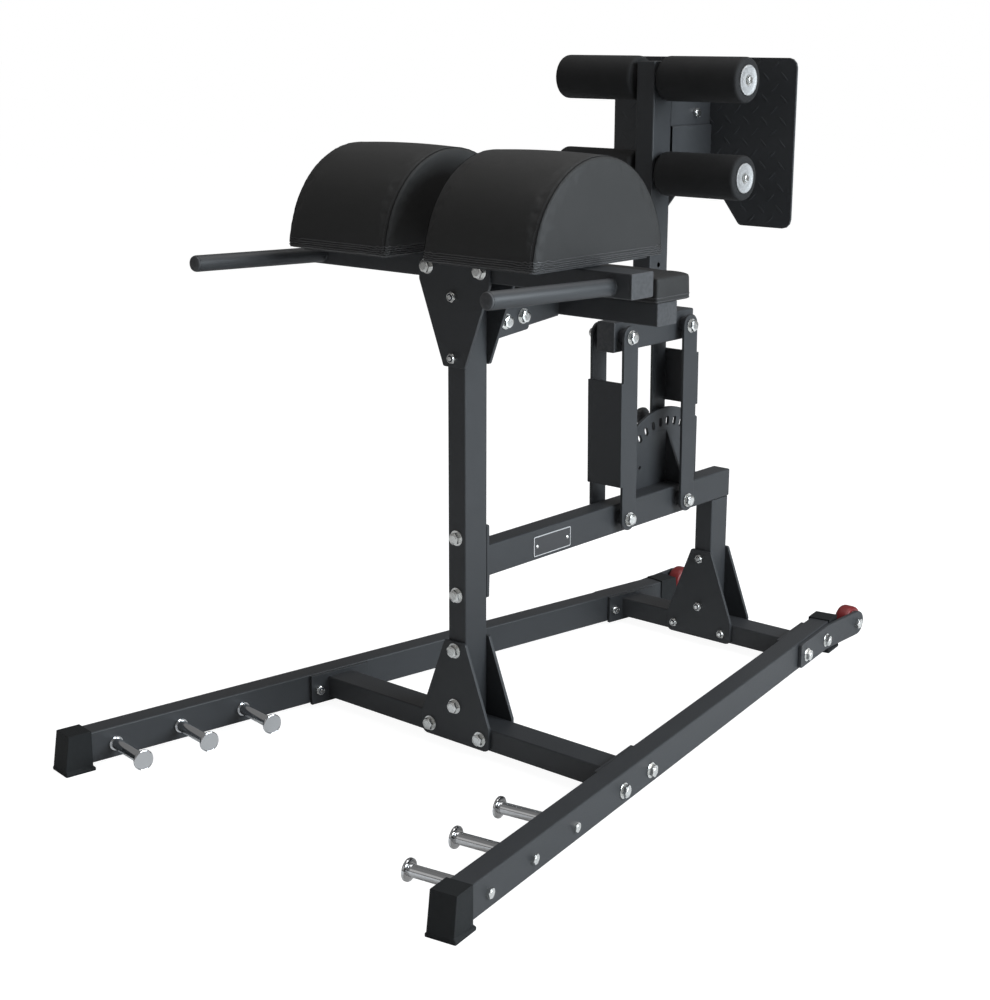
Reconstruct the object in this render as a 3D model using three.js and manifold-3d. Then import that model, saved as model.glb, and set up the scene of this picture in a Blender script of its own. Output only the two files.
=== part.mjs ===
// Glute ham developer: a floor-standing bench on two splayed rails. A front tower carries two
// half-round thigh pads, grab handles and a knee pad. Behind it a foot carriage rides on two
// parallel links over the middle beam, and a pop-pin locks it to a slotted sector plate.
// Sizes are millimetres. X points to the machine's right, Y to its rear, Z up.
import * as THREE from "three";
import { mergeVertices } from "three/addons/utils/BufferGeometryUtils.js";
import Module from "manifold-3d";

const wasm = await Module();
wasm.setup();

// Clearances and tessellation
const seatGap = 0.3;
const turnGap = 0.6;
const overrun = 6;
const weldDistance = 0.0001;
const fuseDepth = 1;
const roundSides = 16;
const wideSides = 24;
const boltSides = 10;
const filletSteps = 3;

// Steel tube shared by rails, uprights, beams and post
const tubeWidth = 50;
const tubeHeight = 70;
const tubeWall = 3;
const tubeCorner = 3.5;
const capThickness = 3.6;
const plugDepth = 14;

// Bolts that join the frame
const boltHoleRadius = 8.5;

// Floor rails, measured along the rail from the plane of the front tower's face
const railFrontReach = 649;
const railRearReach = 1157;
const railCentreAtTower = 440;
const railBottom = 14.4;
const railSplay = THREE.MathUtils.degToRad(9.48);

// Rubber boots on the rail ends
const bootLength = 50;
const bootWall = 3;
const bootToe = 12;
const bootLip = 4.5;
const bootLipHeight = 10.5;
const bootLipEdge = 6;
const bootCorner = 3;

// Plate storage pegs on the rails' inner faces
const pegHeight = 46.5;
const pegSetbacks = [107, 266, 426];
const pegShaftRadius = 12.5;
const pegShaftLength = 124.6;
const pegDiscRadius = 22.5;
const pegDiscThickness = 7;
const pegChamfer = 1.6;
const pegCollarRadius = 16;
const pegCollarThickness = 4;

// Crossmembers between the rails
const crossBottom = 21.9;
const crossFlangeLength = 162;
const crossFlangeThickness = 8;
const crossFlangeBottom = 12;
const crossFlangeTop = 82;

// Towers
const rearTowerFront = 936;
const crossbarBottom = 1037;
const crossbarHalfLength = 448;
const midBeamBottom = 388;

// Gusset plates, one design, drawn from the wide edge
const gussetHeight = 232;
const gussetHalfBase = 97;
const gussetShoulder = 55;
const gussetHalfTip = 29.5;
const gussetThickness = 8;
const gussetCorner = 13;
const gussetTipCorner = 5;
const gussetBaseDrop = 0.9;
const gussetBoltSide = 73;
const gussetBoltBase = 26;
const gussetBoltMiddle = 84;
const gussetBoltTip = 212;

// Middle beam and its mounting flange
const beamFlangeThickness = 7;
const beamFlangeBottom = 339;
const beamFlangeTop = 503;
const beamFlangeBoltInset = 18;
const beamFlangeCorner = 4;

// Blank data plate on the middle beam
const namePlateStart = 228;
const namePlateEnd = 359;
const namePlateBottom = 396;
const namePlateTop = 442;
const namePlateThickness = 1.5;
const namePlateCorner = 4;

// Parallel links and their pivots
const frontPivotY = 551;
const pivotSpacing = 238;
const linkLength = 432;
const linkLean = THREE.MathUtils.degToRad(0.86);
const linkHalfWidth = 27;
const linkPlate = 7;
const linkInnerHalf = 42;
const frontWebStart = 82;
const frontWebEnd = 329;
const rearWebStart = 235;
const rearWebEnd = 363;
const webThickness = 8;
const sleeveRadius = 17;
const pivotShaftRadius = 8;
const openPivotGap = 1.3;
const washerRadius = 17;
const washerThickness = 3;
const hexRadius = 13.8;
const hexHeight = 10;

// Slotted sector plate beside the middle beam
const sectorRadius = 221.5;
const sectorCornerRadius = 228;
const sectorCornerAngle = THREE.MathUtils.degToRad(38);
const sectorThickness = 8;
const sectorFrontReach = 139.5;
const sectorSideInset = 8;
const sectorCorner = 4;
const slotRadius = 187;
const slotWidth = 12;
const slotLength = 23;
const slotPitch = THREE.MathUtils.degToRad(9);
const slotAngle = THREE.MathUtils.degToRad(4);
const slotsForward = 4;
const slotsRearward = 3;
const spareHoleReach = 98.5;
const spareHoleRise = 86.5;
const spareHoleRadius = 5;
const ribPlace = 12.5;
const ribThickness = 8;
const ribRise = 132;
const ribToe = 12;

// Pop-pin on the far side of the rear link
const pinRadius = 5;
const pinTravel = 11;
const pinHousingRadius = 14;
const pinHousingLength = 27;
const pinNeckRadius = 9;
const pinKnobRadius = 22.5;
const pinKnobLength = 23;
const pinKnobCorner = 5;

// Foot carriage
const carriageFrontReach = 33.5;
const carriageRearReach = 42.5;
const postFront = 642;
const postTop = 1468;
const postHoleHeight = 1007;
const postHoleRadius = 6;

// Foot rollers and their axles
const rollerHeights = [1218, 1430];
const axleRadius = 14;
const axleDiscRadius = 33;
const axleDiscThickness = 4;
const rollerRadius = 50;
const rollerInner = 37;
const rollerOuter = 252;
const rollerCorner = 12;

// Footplate and the bracket behind the post
const footplateFront = 869;
const footplateThickness = 5.5;
const footplateHalfWidth = 257;
const footplateDrop = 159;
const footplateRise = 84;
const footplateCorner = 22;
const notchBottomHalf = 116;
const notchMiddleHalf = 72;
const notchMiddleRise = 56;
const notchTopHalf = 45;
const notchTopRise = 86;
const notchCorner = 14;
const bracketTop = 1392;
const bracketSplit = 1322;
const bracketBottom = 1250;
const bracketLowerHalf = 30;
const bracketBoltY = 810;
const bracketBoltHeight = 1350;
const bracketBoltRadius = 6;

// Grab handles on the pad crossbar
const handleSide = 396;
const handleRadius = 17;
const handleWall = 2.5;
const handleLength = 355;
const handleRise = 21;
const handleTilt = THREE.MathUtils.degToRad(1.9);
const handlePlugDome = 7;
const handlePlugLength = 22;

// Thigh pads
const thighPadInner = 48;
const thighPadOuter = 337;
const thighPadHalfDepth = 207;
const thighPadHeight = 211;
const thighPadBottom = 1092;
const thighPadSetback = 16;
const thighPadCrown = 5;
const thighPadEdge = 13;
const thighBoardInset = 7;

// Knee pad and its T-shaped frame
const kneeClevisRear = 199;
const kneeClevisPlate = 5.7;
const kneeClevisHalfHeight = 30;
const kneeClevisCorner = 8;
const kneeTubeTilt = THREE.MathUtils.degToRad(5.2);
const kneeTubeDrop = 153;
const kneeBarHalfLength = 291;
const kneeBarFront = 306;
const kneePadHalfLength = 303;
const kneePadFront = 289;
const kneePadRear = 412;
const kneePadThickness = 59;
const kneePadCrown = 3;
const kneePadEdge = 10;
const kneePadCorner = 12;

// Transport wheels and their brackets
const wheelBracketSetback = 249;
const wheelBendSetback = 71;
const wheelBracketBottom = 19;
const wheelBracketTop = 81;
const wheelBracketThickness = 9;
const wheelBracketCorner = 8;
const wheelAxleReach = 67;
const wheelRadius = 40;
const wheelWidth = 36;
const wheelTyreCorner = 5;
const wheelHubRadius = 17;
const wheelHubDish = 4;
const wheelFaceRadius = 29;
const wheelSpacer = 4;
const wheelSpacerRadius = 12;
const wheelAxleRadius = 8;

// Places worked out from the sizes above
const half = tubeWidth / 2;
const railTop = railBottom + tubeHeight;
const crossTop = crossBottom + tubeWidth;
const crossMiddle = (crossBottom + crossTop) / 2;
const towerMiddle = tubeHeight / 2;
const handleHeight = crossbarBottom + handleRise;
const footplateBottom = bracketBottom - footplateDrop;
const footplateTop = bracketTop + footplateRise;
const wheelBracketStart = railRearReach - wheelBracketSetback;
const wheelBracketBend = railRearReach - wheelBendSetback;
const wheelAxleY = railRearReach + wheelAxleReach;
const rearTowerRear = rearTowerFront + tubeHeight;
const crossbarTop = crossbarBottom + tubeWidth;
const crossbarMiddle = (crossbarBottom + crossbarTop) / 2;
const gussetBase = crossBottom - gussetBaseDrop;
const midBeamTop = midBeamBottom + tubeHeight;
const lowerPivotZ = (midBeamBottom + midBeamTop) / 2;
const rearPivotY = frontPivotY + pivotSpacing;
const upperPivotShift = -linkLength * Math.sin(linkLean);
const upperPivotZ = lowerPivotZ + linkLength * Math.cos(linkLean);
const frontUpperY = frontPivotY + upperPivotShift;
const rearUpperY = rearPivotY + upperPivotShift;
const linkOuterHalf = linkInnerHalf + linkPlate;
const sleeveHalf = linkInnerHalf - seatGap;
const carriageTop = upperPivotZ + tubeHeight / 2;
const carriageFront = frontUpperY - carriageFrontReach;
const carriageRear = rearUpperY + carriageRearReach;
const postRear = postFront + tubeHeight;
const postMiddle = postFront + tubeHeight / 2;
const pinAngle = slotAngle + linkLean;
const pinAcross = slotRadius * Math.sin(pinAngle);
const pinAlong = slotRadius * Math.cos(pinAngle);

// Materials
function finish(color, roughness, metalness) {
  return new THREE.MeshStandardMaterial({ color, roughness, metalness });
}
const blackSteel = () => finish(0x17181b, 0.45, 0.3);
const blackPlastic = () => finish(0x1b1b1d, 0.6, 0);
const blackRubber = () => finish(0x111112, 0.85, 0);
const blackVinyl = () => finish(0x121214, 0.6, 0);
const blackFoam = () => finish(0x18181a, 0.95, 0);
const chromeSteel = () => finish(0xc8cacc, 0.15, 1);
const zincSteel = () => finish(0xb8bcbe, 0.35, 0.9);
const redTyre = () => finish(0x6a1414, 0.5, 0);
const plateFace = () => finish(0x232326, 0.5, 0);

// Turns a three.js geometry into a solid for joining and cutting
function solidOf(geometry) {
  const plain = geometry.clone();
  plain.deleteAttribute("normal");
  plain.deleteAttribute("uv");
  const merged = mergeVertices(plain, weldDistance);
  const corners = merged.index.array;
  const kept = [];
  for (let i = 0; i < corners.length; i += 3) {
    const [a, b, c] = [corners[i], corners[i + 1], corners[i + 2]];
    if (a !== b && b !== c && c !== a) kept.push(a, b, c);
  }
  const mesh = new wasm.Mesh({
    numProp: 3,
    vertProperties: new Float32Array(merged.attributes.position.array),
    triVerts: new Uint32Array(kept),
  });
  return new wasm.Manifold(mesh);
}

// Turns a finished solid back into a geometry for a mesh
function geometryOf(solid) {
  const mesh = solid.getMesh();
  const geometry = new THREE.BufferGeometry();
  const places = new Float32Array(mesh.vertProperties);
  geometry.setAttribute("position", new THREE.BufferAttribute(places, 3));
  geometry.setIndex(new THREE.BufferAttribute(new Uint32Array(mesh.triVerts), 1));
  geometry.computeVertexNormals();
  return geometry;
}

// Reflects a geometry in the plane X = 0 and keeps its faces pointing out
function mirrored(geometry) {
  const copy = geometry.clone();
  const places = copy.attributes.position;
  for (let i = 0; i < places.count; i += 1) places.setX(i, -places.getX(i));
  const corners = copy.index.array;
  for (let i = 0; i < corners.length; i += 3) {
    [corners[i + 1], corners[i + 2]] = [corners[i + 2], corners[i + 1]];
  }
  copy.computeVertexNormals();
  return copy;
}

const joined = (first, ...others) => others.reduce((sum, next) => sum.add(next), first);
const cut = (first, ...tools) => tools.reduce((rest, tool) => rest.subtract(tool), first);

// A block between two values on each axis
function block(x0, x1, y0, y1, z0, z1) {
  const geometry = new THREE.BoxGeometry(x1 - x0, y1 - y0, z1 - z0);
  return solidOf(geometry.translate((x0 + x1) / 2, (y0 + y1) / 2, (z0 + z1) / 2));
}

// Basis that lays a drawn outline in a plane, with the extrusion along the named axis
const planes = {
  x: new THREE.Matrix4().set(0, 0, 1, 0, 1, 0, 0, 0, 0, 1, 0, 0, 0, 0, 0, 1),
  y: new THREE.Matrix4().set(-1, 0, 0, 0, 0, 0, 1, 0, 0, 1, 0, 0, 0, 0, 0, 1),
  z: new THREE.Matrix4(),
};

// Extrudes an outline along an axis from start to end. Outlines across x are drawn in (y, z),
// across y in (-x, z) and across z in (x, y). holes is a list of outlines.
function extruded(axis, outline, holes, start, end) {
  const shape = new THREE.Shape(outline);
  shape.holes = holes.map((hole) => new THREE.Path(hole));
  const geometry = new THREE.ExtrudeGeometry(shape, { depth: end - start, bevelEnabled: false });
  geometry.translate(0, 0, start);
  return solidOf(geometry.applyMatrix4(planes[axis]));
}

// A round bar along an axis; u and v are the other two coordinates in the order X, Y, Z
function rod(axis, radius, start, end, u, v, sides = roundSides) {
  const geometry = new THREE.CylinderGeometry(radius, radius, end - start, sides);
  geometry.translate(0, (start + end) / 2, 0);
  if (axis === "x") geometry.rotateZ(-Math.PI / 2).translate(0, u, v);
  if (axis === "y") geometry.translate(u, 0, v);
  if (axis === "z") geometry.rotateX(Math.PI / 2).translate(u, v, 0);
  return solidOf(geometry);
}

// A revolved body about the line that starts at the origin and runs along +Y; profile points
// are (radius, distance) and close on the axis or on themselves
function revolved(profile, sides = roundSides) {
  return new THREE.LatheGeometry(profile.map(([r, y]) => new THREE.Vector2(r, y)), sides);
}

// Points on an arc, ends included
function arc(cx, cy, radius, from, to, steps) {
  return Array.from({ length: steps + 1 }, (_, i) => {
    const angle = from + ((to - from) * i) / steps;
    return new THREE.Vector2(cx + radius * Math.cos(angle), cy + radius * Math.sin(angle));
  });
}

// An outline whose corners are given as [x, y, fillet radius]
function filleted(corners, steps = filletSteps) {
  const outline = [];
  corners.forEach(([x, y, radius], i) => {
    const corner = new THREE.Vector2(x, y);
    if (!radius) {
      outline.push(corner);
      return;
    }
    const [bx, by] = corners.at(i - 1);
    const [ax, ay] = corners[(i + 1) % corners.length];
    const back = new THREE.Vector2(bx, by).sub(corner).normalize();
    const ahead = new THREE.Vector2(ax, ay).sub(corner).normalize();
    const halfAngle = Math.acos(back.dot(ahead)) / 2;
    const middle = back.clone().add(ahead).normalize();
    const centre = corner.clone().addScaledVector(middle, radius / Math.sin(halfAngle));
    const first = corner.clone().addScaledVector(back, radius / Math.tan(halfAngle)).sub(centre);
    const last = corner.clone().addScaledVector(ahead, radius / Math.tan(halfAngle)).sub(centre);
    const from = Math.atan2(first.y, first.x);
    const sweep = Math.atan2(first.cross(last), first.dot(last));
    outline.push(...arc(centre.x, centre.y, radius, from, from + sweep, steps));
  });
  return outline;
}

// A rectangle with equal fillets
function rectangle(x0, x1, y0, y1, radius, steps = filletSteps) {
  return filleted([[x0, y0, radius], [x1, y0, radius], [x1, y1, radius], [x0, y1, radius]], steps);
}

// A rectangular steel tube along an axis, open at both ends
function steelTube(axis, u0, u1, v0, v1, start, end) {
  const outer = rectangle(u0, u1, v0, v1, tubeCorner, 3);
  const innerCorner = tubeCorner - tubeWall;
  const inner = rectangle(
    u0 + tubeWall,
    u1 - tubeWall,
    v0 + tubeWall,
    v1 - tubeWall,
    innerCorner,
    1,
  );
  return extruded(axis, outer, [inner], start, end);
}

// A moulded end cap: a flat head and a plug that enters the tube; the head looks along -axis
// when start is larger than end
function endCap(axis, u0, u1, v0, v1, face, outward) {
  const head = rectangle(u0, u1, v0, v1, tubeCorner, 3);
  const room = tubeWall + seatGap;
  const plug = rectangle(u0 + room, u1 - room, v0 + room, v1 - room, tubeCorner - tubeWall, 1);
  const tip = face + outward * capThickness;
  const root = face - outward * plugDepth;
  const headSolid = extruded(axis, head, [], Math.min(face, tip), Math.max(face, tip));
  const start = Math.min(root, face + outward * fuseDepth);
  const end = Math.max(root, face + outward * fuseDepth);
  return joined(headSolid, extruded(axis, plug, [], start, end));
}

const machine = new THREE.Group();
const rightRailSide = new THREE.Group();
const leftRailSide = new THREE.Group();
rightRailSide.position.x = railCentreAtTower;
rightRailSide.rotation.z = railSplay;
leftRailSide.position.x = -railCentreAtTower;
leftRailSide.rotation.z = -railSplay;
machine.add(rightRailSide, leftRailSide);

// Adds a named mesh to a group and returns it
function place(parent, name, geometry, material, x = 0, y = 0, z = 0) {
  const mesh = new THREE.Mesh(geometry, material);
  mesh.name = name;
  mesh.position.set(x, y, z);
  parent.add(mesh);
  return mesh;
}

const sides = [
  { word: "right", sign: 1, rail: rightRailSide },
  { word: "left", sign: -1, rail: leftRailSide },
];

// Distance along the rail of a point that lies at machine depth y, inward of its centre line
function alongRail(y, inward) {
  return (y + inward * Math.sin(railSplay)) / Math.cos(railSplay);
}

// Rails
function railGeometry() {
  const tube = steelTube("y", -half, half, railBottom, railTop, -railFrontReach, railRearReach);
  return geometryOf(tube);
}

// Rubber boot: the rail's end lies in its socket, and it runs back along +Y. Its front leans out
// toward the floor and ends in the lip that goes round the foot
function bootGeometry() {
  const outer = half + seatGap + bootWall;
  const foot = outer + bootLip;
  const front = -seatGap - bootWall;
  const toe = front - bootToe;
  const top = railTop + seatGap + bootWall;
  const profile = [[toe, 0], [bootLength, 0], [bootLength, top], [front, top]];
  const outline = profile.map(([y, z]) => new THREE.Vector2(y, z));
  const body = extruded("x", outline, [], -outer, outer);
  const flatLip = extruded(
    "z",
    rectangle(-foot, foot, toe, bootLength + bootLip, bootCorner),
    [],
    0,
    bootLipEdge,
  );
  const crest = block(-outer, outer, toe + bootLip, bootLength, 0, bootLipHeight);
  const lip = wasm.Manifold.hull([flatLip, crest]);
  const socketHalf = half + seatGap;
  const floor = railBottom - seatGap;
  const socket = block(
    -socketHalf,
    socketHalf,
    -seatGap,
    bootLength + bootLip + overrun,
    floor,
    railTop + seatGap,
  );
  return geometryOf(cut(joined(body, lip), socket));
}

// Storage peg: a chromed shaft with a collar at the rail and a chamfered disc at its tip
function pegGeometry() {
  const discBase = pegShaftLength;
  const tip = discBase + pegDiscThickness;
  return geometryOf(solidOf(revolved([
    [0, 0],
    [pegCollarRadius, 0],
    [pegCollarRadius, pegCollarThickness],
    [pegShaftRadius, pegCollarThickness],
    [pegShaftRadius, discBase],
    [pegDiscRadius - pegChamfer, discBase],
    [pegDiscRadius, discBase + pegChamfer],
    [pegDiscRadius, tip - pegChamfer],
    [pegDiscRadius - pegChamfer, tip],
    [0, tip],
  ])));
}

for (const { word, sign, rail } of sides) {
  place(rail, `rail_${word}`, railGeometry(), blackSteel());
  place(rail, `foot_front_${word}`, bootGeometry(), blackRubber(), 0, -railFrontReach);
  const rearBoot = place(rail, `foot_rear_${word}`, bootGeometry(), blackRubber(), 0, railRearReach);
  rearBoot.rotation.z = Math.PI;
  pegSetbacks.forEach((setback, i) => {
    const station = setback - railFrontReach;
    const name = `storage_peg_${word}_${i + 1}`;
    const reach = -sign * (half + seatGap);
    const peg = place(rail, name, pegGeometry(), chromeSteel(), reach, station, pegHeight);
    peg.rotation.z = sign * Math.PI / 2;
  });
}

// Crossmember: a tube laid flat between the rails, with a plate at each end that follows the
// rail's inner face, and the four holes of its gusset bolts
function crossmemberGeometry(frontFace) {
  const reach = railCentreAtTower + half;
  const tube = steelTube("x", 0, tubeHeight, crossBottom, crossTop, -reach, reach);
  const inner = half + seatGap;
  const centre = alongRail(frontFace + towerMiddle, inner + crossFlangeThickness / 2);
  const toRail = new THREE.Matrix4()
    .makeTranslation(railCentreAtTower, -frontFace, 0)
    .multiply(new THREE.Matrix4().makeRotationZ(railSplay));
  const flange = new THREE.BoxGeometry(
    crossFlangeThickness,
    crossFlangeLength,
    crossFlangeTop - crossFlangeBottom,
  );
  const flangeMiddle = (crossFlangeTop + crossFlangeBottom) / 2;
  flange.translate(-inner - crossFlangeThickness / 2, centre, flangeMiddle);
  const trimDepth = railCentreAtTower;
  const trim = new THREE.BoxGeometry(trimDepth, railFrontReach + railRearReach, railTop);
  trim.translate(trimDepth / 2 - inner - fuseDepth, centre, crossMiddle);
  const rightPlate = geometryOf(solidOf(flange.applyMatrix4(toRail)));
  const rightTrim = geometryOf(solidOf(trim.applyMatrix4(toRail)));
  const trimmed = cut(tube, solidOf(rightTrim), solidOf(mirrored(rightTrim)));
  const body = joined(trimmed, solidOf(rightPlate), solidOf(mirrored(rightPlate)));
  const holes = [-gussetBoltSide, gussetBoltSide].map((x) => (
    rod("y", boltHoleRadius, -overrun, tubeHeight + overrun, x, crossMiddle, boltSides)
  ));
  return geometryOf(cut(body, ...holes));
}
place(machine, "front_crossmember", crossmemberGeometry(0), blackSteel());
const rearCross = crossmemberGeometry(rearTowerFront);
place(machine, "rear_crossmember", rearCross, blackSteel(), 0, rearTowerFront);

// Upright tube with cross-bolt holes at the given heights
function uprightGeometry(bottom, top, holeHeights) {
  const tube = steelTube("z", -half, half, 0, tubeHeight, bottom, top);
  const holes = holeHeights.map((z) => (
    rod("y", boltHoleRadius, -overrun, tubeHeight + overrun, 0, z, boltSides)
  ));
  return geometryOf(cut(tube, ...holes));
}
const lowHoles = [gussetBase + gussetBoltMiddle, gussetBase + gussetBoltTip];
const highHoles = [crossbarTop - gussetBoltMiddle, crossbarTop - gussetBoltTip];
const flangeHoles = [
  beamFlangeBottom + beamFlangeBoltInset,
  beamFlangeTop - beamFlangeBoltInset,
];
const frontUpright = uprightGeometry(crossTop, crossbarBottom, [
  ...lowHoles,
  ...flangeHoles,
  ...highHoles,
]);
place(machine, "front_upright", frontUpright, blackSteel());
const rearUpright = uprightGeometry(crossTop, midBeamBottom, lowHoles);
place(machine, "rear_upright", rearUpright, blackSteel(), 0, rearTowerFront);

// Gusset plate: wide edge at z = 0, narrowing upwards, four bolt holes
function gussetSolid() {
  const outline = filleted([
    [-gussetHalfBase, 0, gussetCorner],
    [gussetHalfBase, 0, gussetCorner],
    [gussetHalfBase, gussetShoulder, gussetCorner],
    [gussetHalfTip, gussetHeight, gussetTipCorner],
    [-gussetHalfTip, gussetHeight, gussetTipCorner],
    [-gussetHalfBase, gussetShoulder, gussetCorner],
  ]);
  const round = (x, z) => arc(x, z, boltHoleRadius, 0, Math.PI * 2, boltSides).slice(0, -1);
  const holes = [
    round(0, gussetBoltMiddle),
    round(0, gussetBoltTip),
    round(-gussetBoltSide, gussetBoltBase),
    round(gussetBoltSide, gussetBoltBase),
  ];
  return extruded("y", outline, holes, 0, gussetThickness);
}

const towers = [
  { word: "front", y: 0 },
  { word: "rear", y: rearTowerFront },
];
for (const { word, y } of towers) {
  const ahead = y - gussetThickness;
  const behind = y + tubeHeight;
  const plate = geometryOf(gussetSolid());
  place(machine, `${word}_tower_gusset_front`, plate, blackSteel(), 0, ahead, gussetBase);
  place(machine, `${word}_tower_gusset_rear`, plate.clone(), blackSteel(), 0, behind, gussetBase);
}
const topGusset = place(
  machine,
  "pad_gusset_front",
  geometryOf(gussetSolid()),
  blackSteel(),
  0,
  0,
  crossbarTop,
);
topGusset.rotation.x = Math.PI;

// The rear pad gusset also carries the two clevis plates of the knee pad's tube
function kneeAxisHeight(y) {
  const rise = (y - tubeHeight - gussetThickness) * Math.tan(kneeTubeTilt);
  return crossbarTop - kneeTubeDrop + rise;
}
const kneeBarBottom = kneeAxisHeight(kneeBarFront + towerMiddle) - half;
function rearPadGussetGeometry() {
  const flipped = geometryOf(gussetSolid());
  flipped.rotateX(Math.PI);
  flipped.translate(0, tubeHeight + gussetThickness, crossbarTop);
  const start = tubeHeight + gussetThickness - fuseDepth;
  const low = kneeAxisHeight(start) - kneeClevisHalfHeight;
  const high = kneeAxisHeight(start) + kneeClevisHalfHeight;
  const rearLow = kneeAxisHeight(kneeClevisRear) - kneeClevisHalfHeight;
  const rearHigh = kneeAxisHeight(kneeClevisRear) + kneeClevisHalfHeight;
  const ear = filleted([
    [start, low, 0],
    [kneeClevisRear, rearLow, kneeClevisCorner],
    [kneeClevisRear, rearHigh, kneeClevisCorner],
    [start, high, 0],
  ]);
  const inside = half + seatGap;
  const outside = inside + kneeClevisPlate;
  return geometryOf(joined(
    solidOf(flipped),
    extruded("x", ear, [], inside, outside),
    extruded("x", ear, [], -outside, -inside),
  ));
}
place(machine, "pad_gusset_rear", rearPadGussetGeometry(), blackSteel());

// Middle beam: tube with a bolted flange at the front upright, a closed rear end and the two
// welded pivot sleeves that hold the links apart from it
function midBeamGeometry() {
  const start = tubeHeight + beamFlangeThickness;
  const tube = steelTube("y", -half, half, midBeamBottom, midBeamTop, start, rearTowerRear);
  const flangeOutline = rectangle(
    -half,
    half,
    beamFlangeBottom,
    beamFlangeTop,
    beamFlangeCorner,
    2,
  );
  const round = (z) => arc(0, z, boltHoleRadius, 0, Math.PI * 2, boltSides).slice(0, -1);
  const bore = rectangle(
    -half + tubeCorner,
    half - tubeCorner,
    midBeamBottom + tubeCorner,
    midBeamTop - tubeCorner,
    0,
  );
  const flange = extruded(
    "y",
    flangeOutline,
    [...flangeHoles.map(round), bore],
    tubeHeight,
    start + fuseDepth,
  );
  const cap = endCap("y", -half, half, midBeamBottom, midBeamTop, rearTowerRear, 1);
  const pivots = [frontPivotY, rearPivotY];
  const sleeves = pivots.map((y) => (
    rod("x", sleeveRadius, -sleeveHalf, sleeveHalf, y, lowerPivotZ)
  ));
  const bores = pivots.map((y) => (
    rod("x", pivotShaftRadius + seatGap, -linkInnerHalf, linkInnerHalf, y, lowerPivotZ)
  ));
  return geometryOf(cut(joined(tube, flange, cap, ...sleeves), ...bores));
}
place(machine, "mid_beam", midBeamGeometry(), blackSteel());

// Blank data plate
function namePlateGeometry() {
  const outline = rectangle(
    namePlateStart,
    namePlateEnd,
    namePlateBottom,
    namePlateTop,
    namePlateCorner,
  );
  return geometryOf(extruded("x", outline, [], half, half + namePlateThickness));
}
place(machine, "name_plate", namePlateGeometry(), plateFace());

// Link: two round-ended flat bars held apart by a lapped web plate; webSide is -1 where the
// web lies on the front edges and 1 where it lies on the rear edges
function linkSolid(webSide, webStart, webEnd, topHoleRadius) {
  const outline = [
    ...arc(0, 0, linkHalfWidth, Math.PI, Math.PI * 2, 12),
    ...arc(0, linkLength, linkHalfWidth, 0, Math.PI, 12),
  ];
  const round = (z, radius) => arc(0, z, radius, 0, Math.PI * 2, roundSides).slice(0, -1);
  const holes = [round(0, pivotShaftRadius + turnGap), round(linkLength, topHoleRadius)];
  const web0 = webSide * (linkHalfWidth - fuseDepth);
  const web1 = webSide * (linkHalfWidth + webThickness);
  return joined(
    extruded("x", outline, holes, linkInnerHalf, linkOuterHalf),
    extruded("x", outline, holes, -linkOuterHalf, -linkInnerHalf),
    block(
      -linkOuterHalf,
      linkOuterHalf,
      Math.min(web0, web1),
      Math.max(web0, web1),
      webStart,
      webEnd,
    ),
  );
}
const openHole = pivotShaftRadius + openPivotGap;
const frontLinkSolid = linkSolid(-1, frontWebStart, frontWebEnd, openHole);
const frontLink = place(
  machine,
  "front_link",
  geometryOf(frontLinkSolid),
  blackSteel(),
  0,
  frontPivotY,
  lowerPivotZ,
);
frontLink.rotation.x = linkLean;

const turningHole = pivotShaftRadius + turnGap;
const pinHole = rod(
  "x",
  pinRadius + turnGap,
  -linkOuterHalf - overrun,
  -linkInnerHalf + overrun,
  pinAcross,
  pinAlong,
  16,
);
const rearLinkSolid = cut(linkSolid(1, rearWebStart, rearWebEnd, turningHole), pinHole);
const rearLinkGroup = new THREE.Group();
rearLinkGroup.position.set(0, rearPivotY, lowerPivotZ);
rearLinkGroup.rotation.x = linkLean;
machine.add(rearLinkGroup);
place(rearLinkGroup, "rear_link", geometryOf(rearLinkSolid), blackSteel());

// Pop-pin housing: a barrel with a narrower neck on the link's far face
function pinHousingGeometry() {
  const seat = -linkOuterHalf - seatGap;
  const neck = seat - pinHousingLength * 2 / 3;
  const end = seat - pinHousingLength;
  const body = joined(
    rod("x", pinHousingRadius, neck, seat, pinAcross, pinAlong),
    rod("x", pinNeckRadius, end, neck + fuseDepth, pinAcross, pinAlong),
  );
  const bore = pinRadius + turnGap;
  const bored = rod("x", bore, end - overrun, seat + overrun, pinAcross, pinAlong, 16);
  return geometryOf(cut(body, bored));
}
place(rearLinkGroup, "pop_pin_housing", pinHousingGeometry(), zincSteel());

// Plunger: a pin with a round knob, drawn clear of the sector plate
function pinPlungerGeometry() {
  const tip = -half - sectorThickness - turnGap;
  const knobStart = -linkOuterHalf - seatGap - pinHousingLength - pinTravel - fuseDepth * 3;
  const knobEnd = knobStart - pinKnobLength;
  const knob = solidOf(revolved([
    [0, 0],
    [pinKnobRadius - pinKnobCorner, 0],
    [pinKnobRadius, pinKnobCorner],
    [pinKnobRadius, pinKnobLength - pinKnobCorner],
    [pinKnobRadius - pinKnobCorner, pinKnobLength],
    [0, pinKnobLength],
  ]).rotateZ(-Math.PI / 2).translate(knobEnd, pinAcross, pinAlong));
  const shaft = rod("x", pinRadius, knobStart - fuseDepth, tip, pinAcross, pinAlong, 16);
  return geometryOf(joined(knob, shaft));
}
place(rearLinkGroup, "pop_pin_plunger", pinPlungerGeometry(), blackPlastic());

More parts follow.
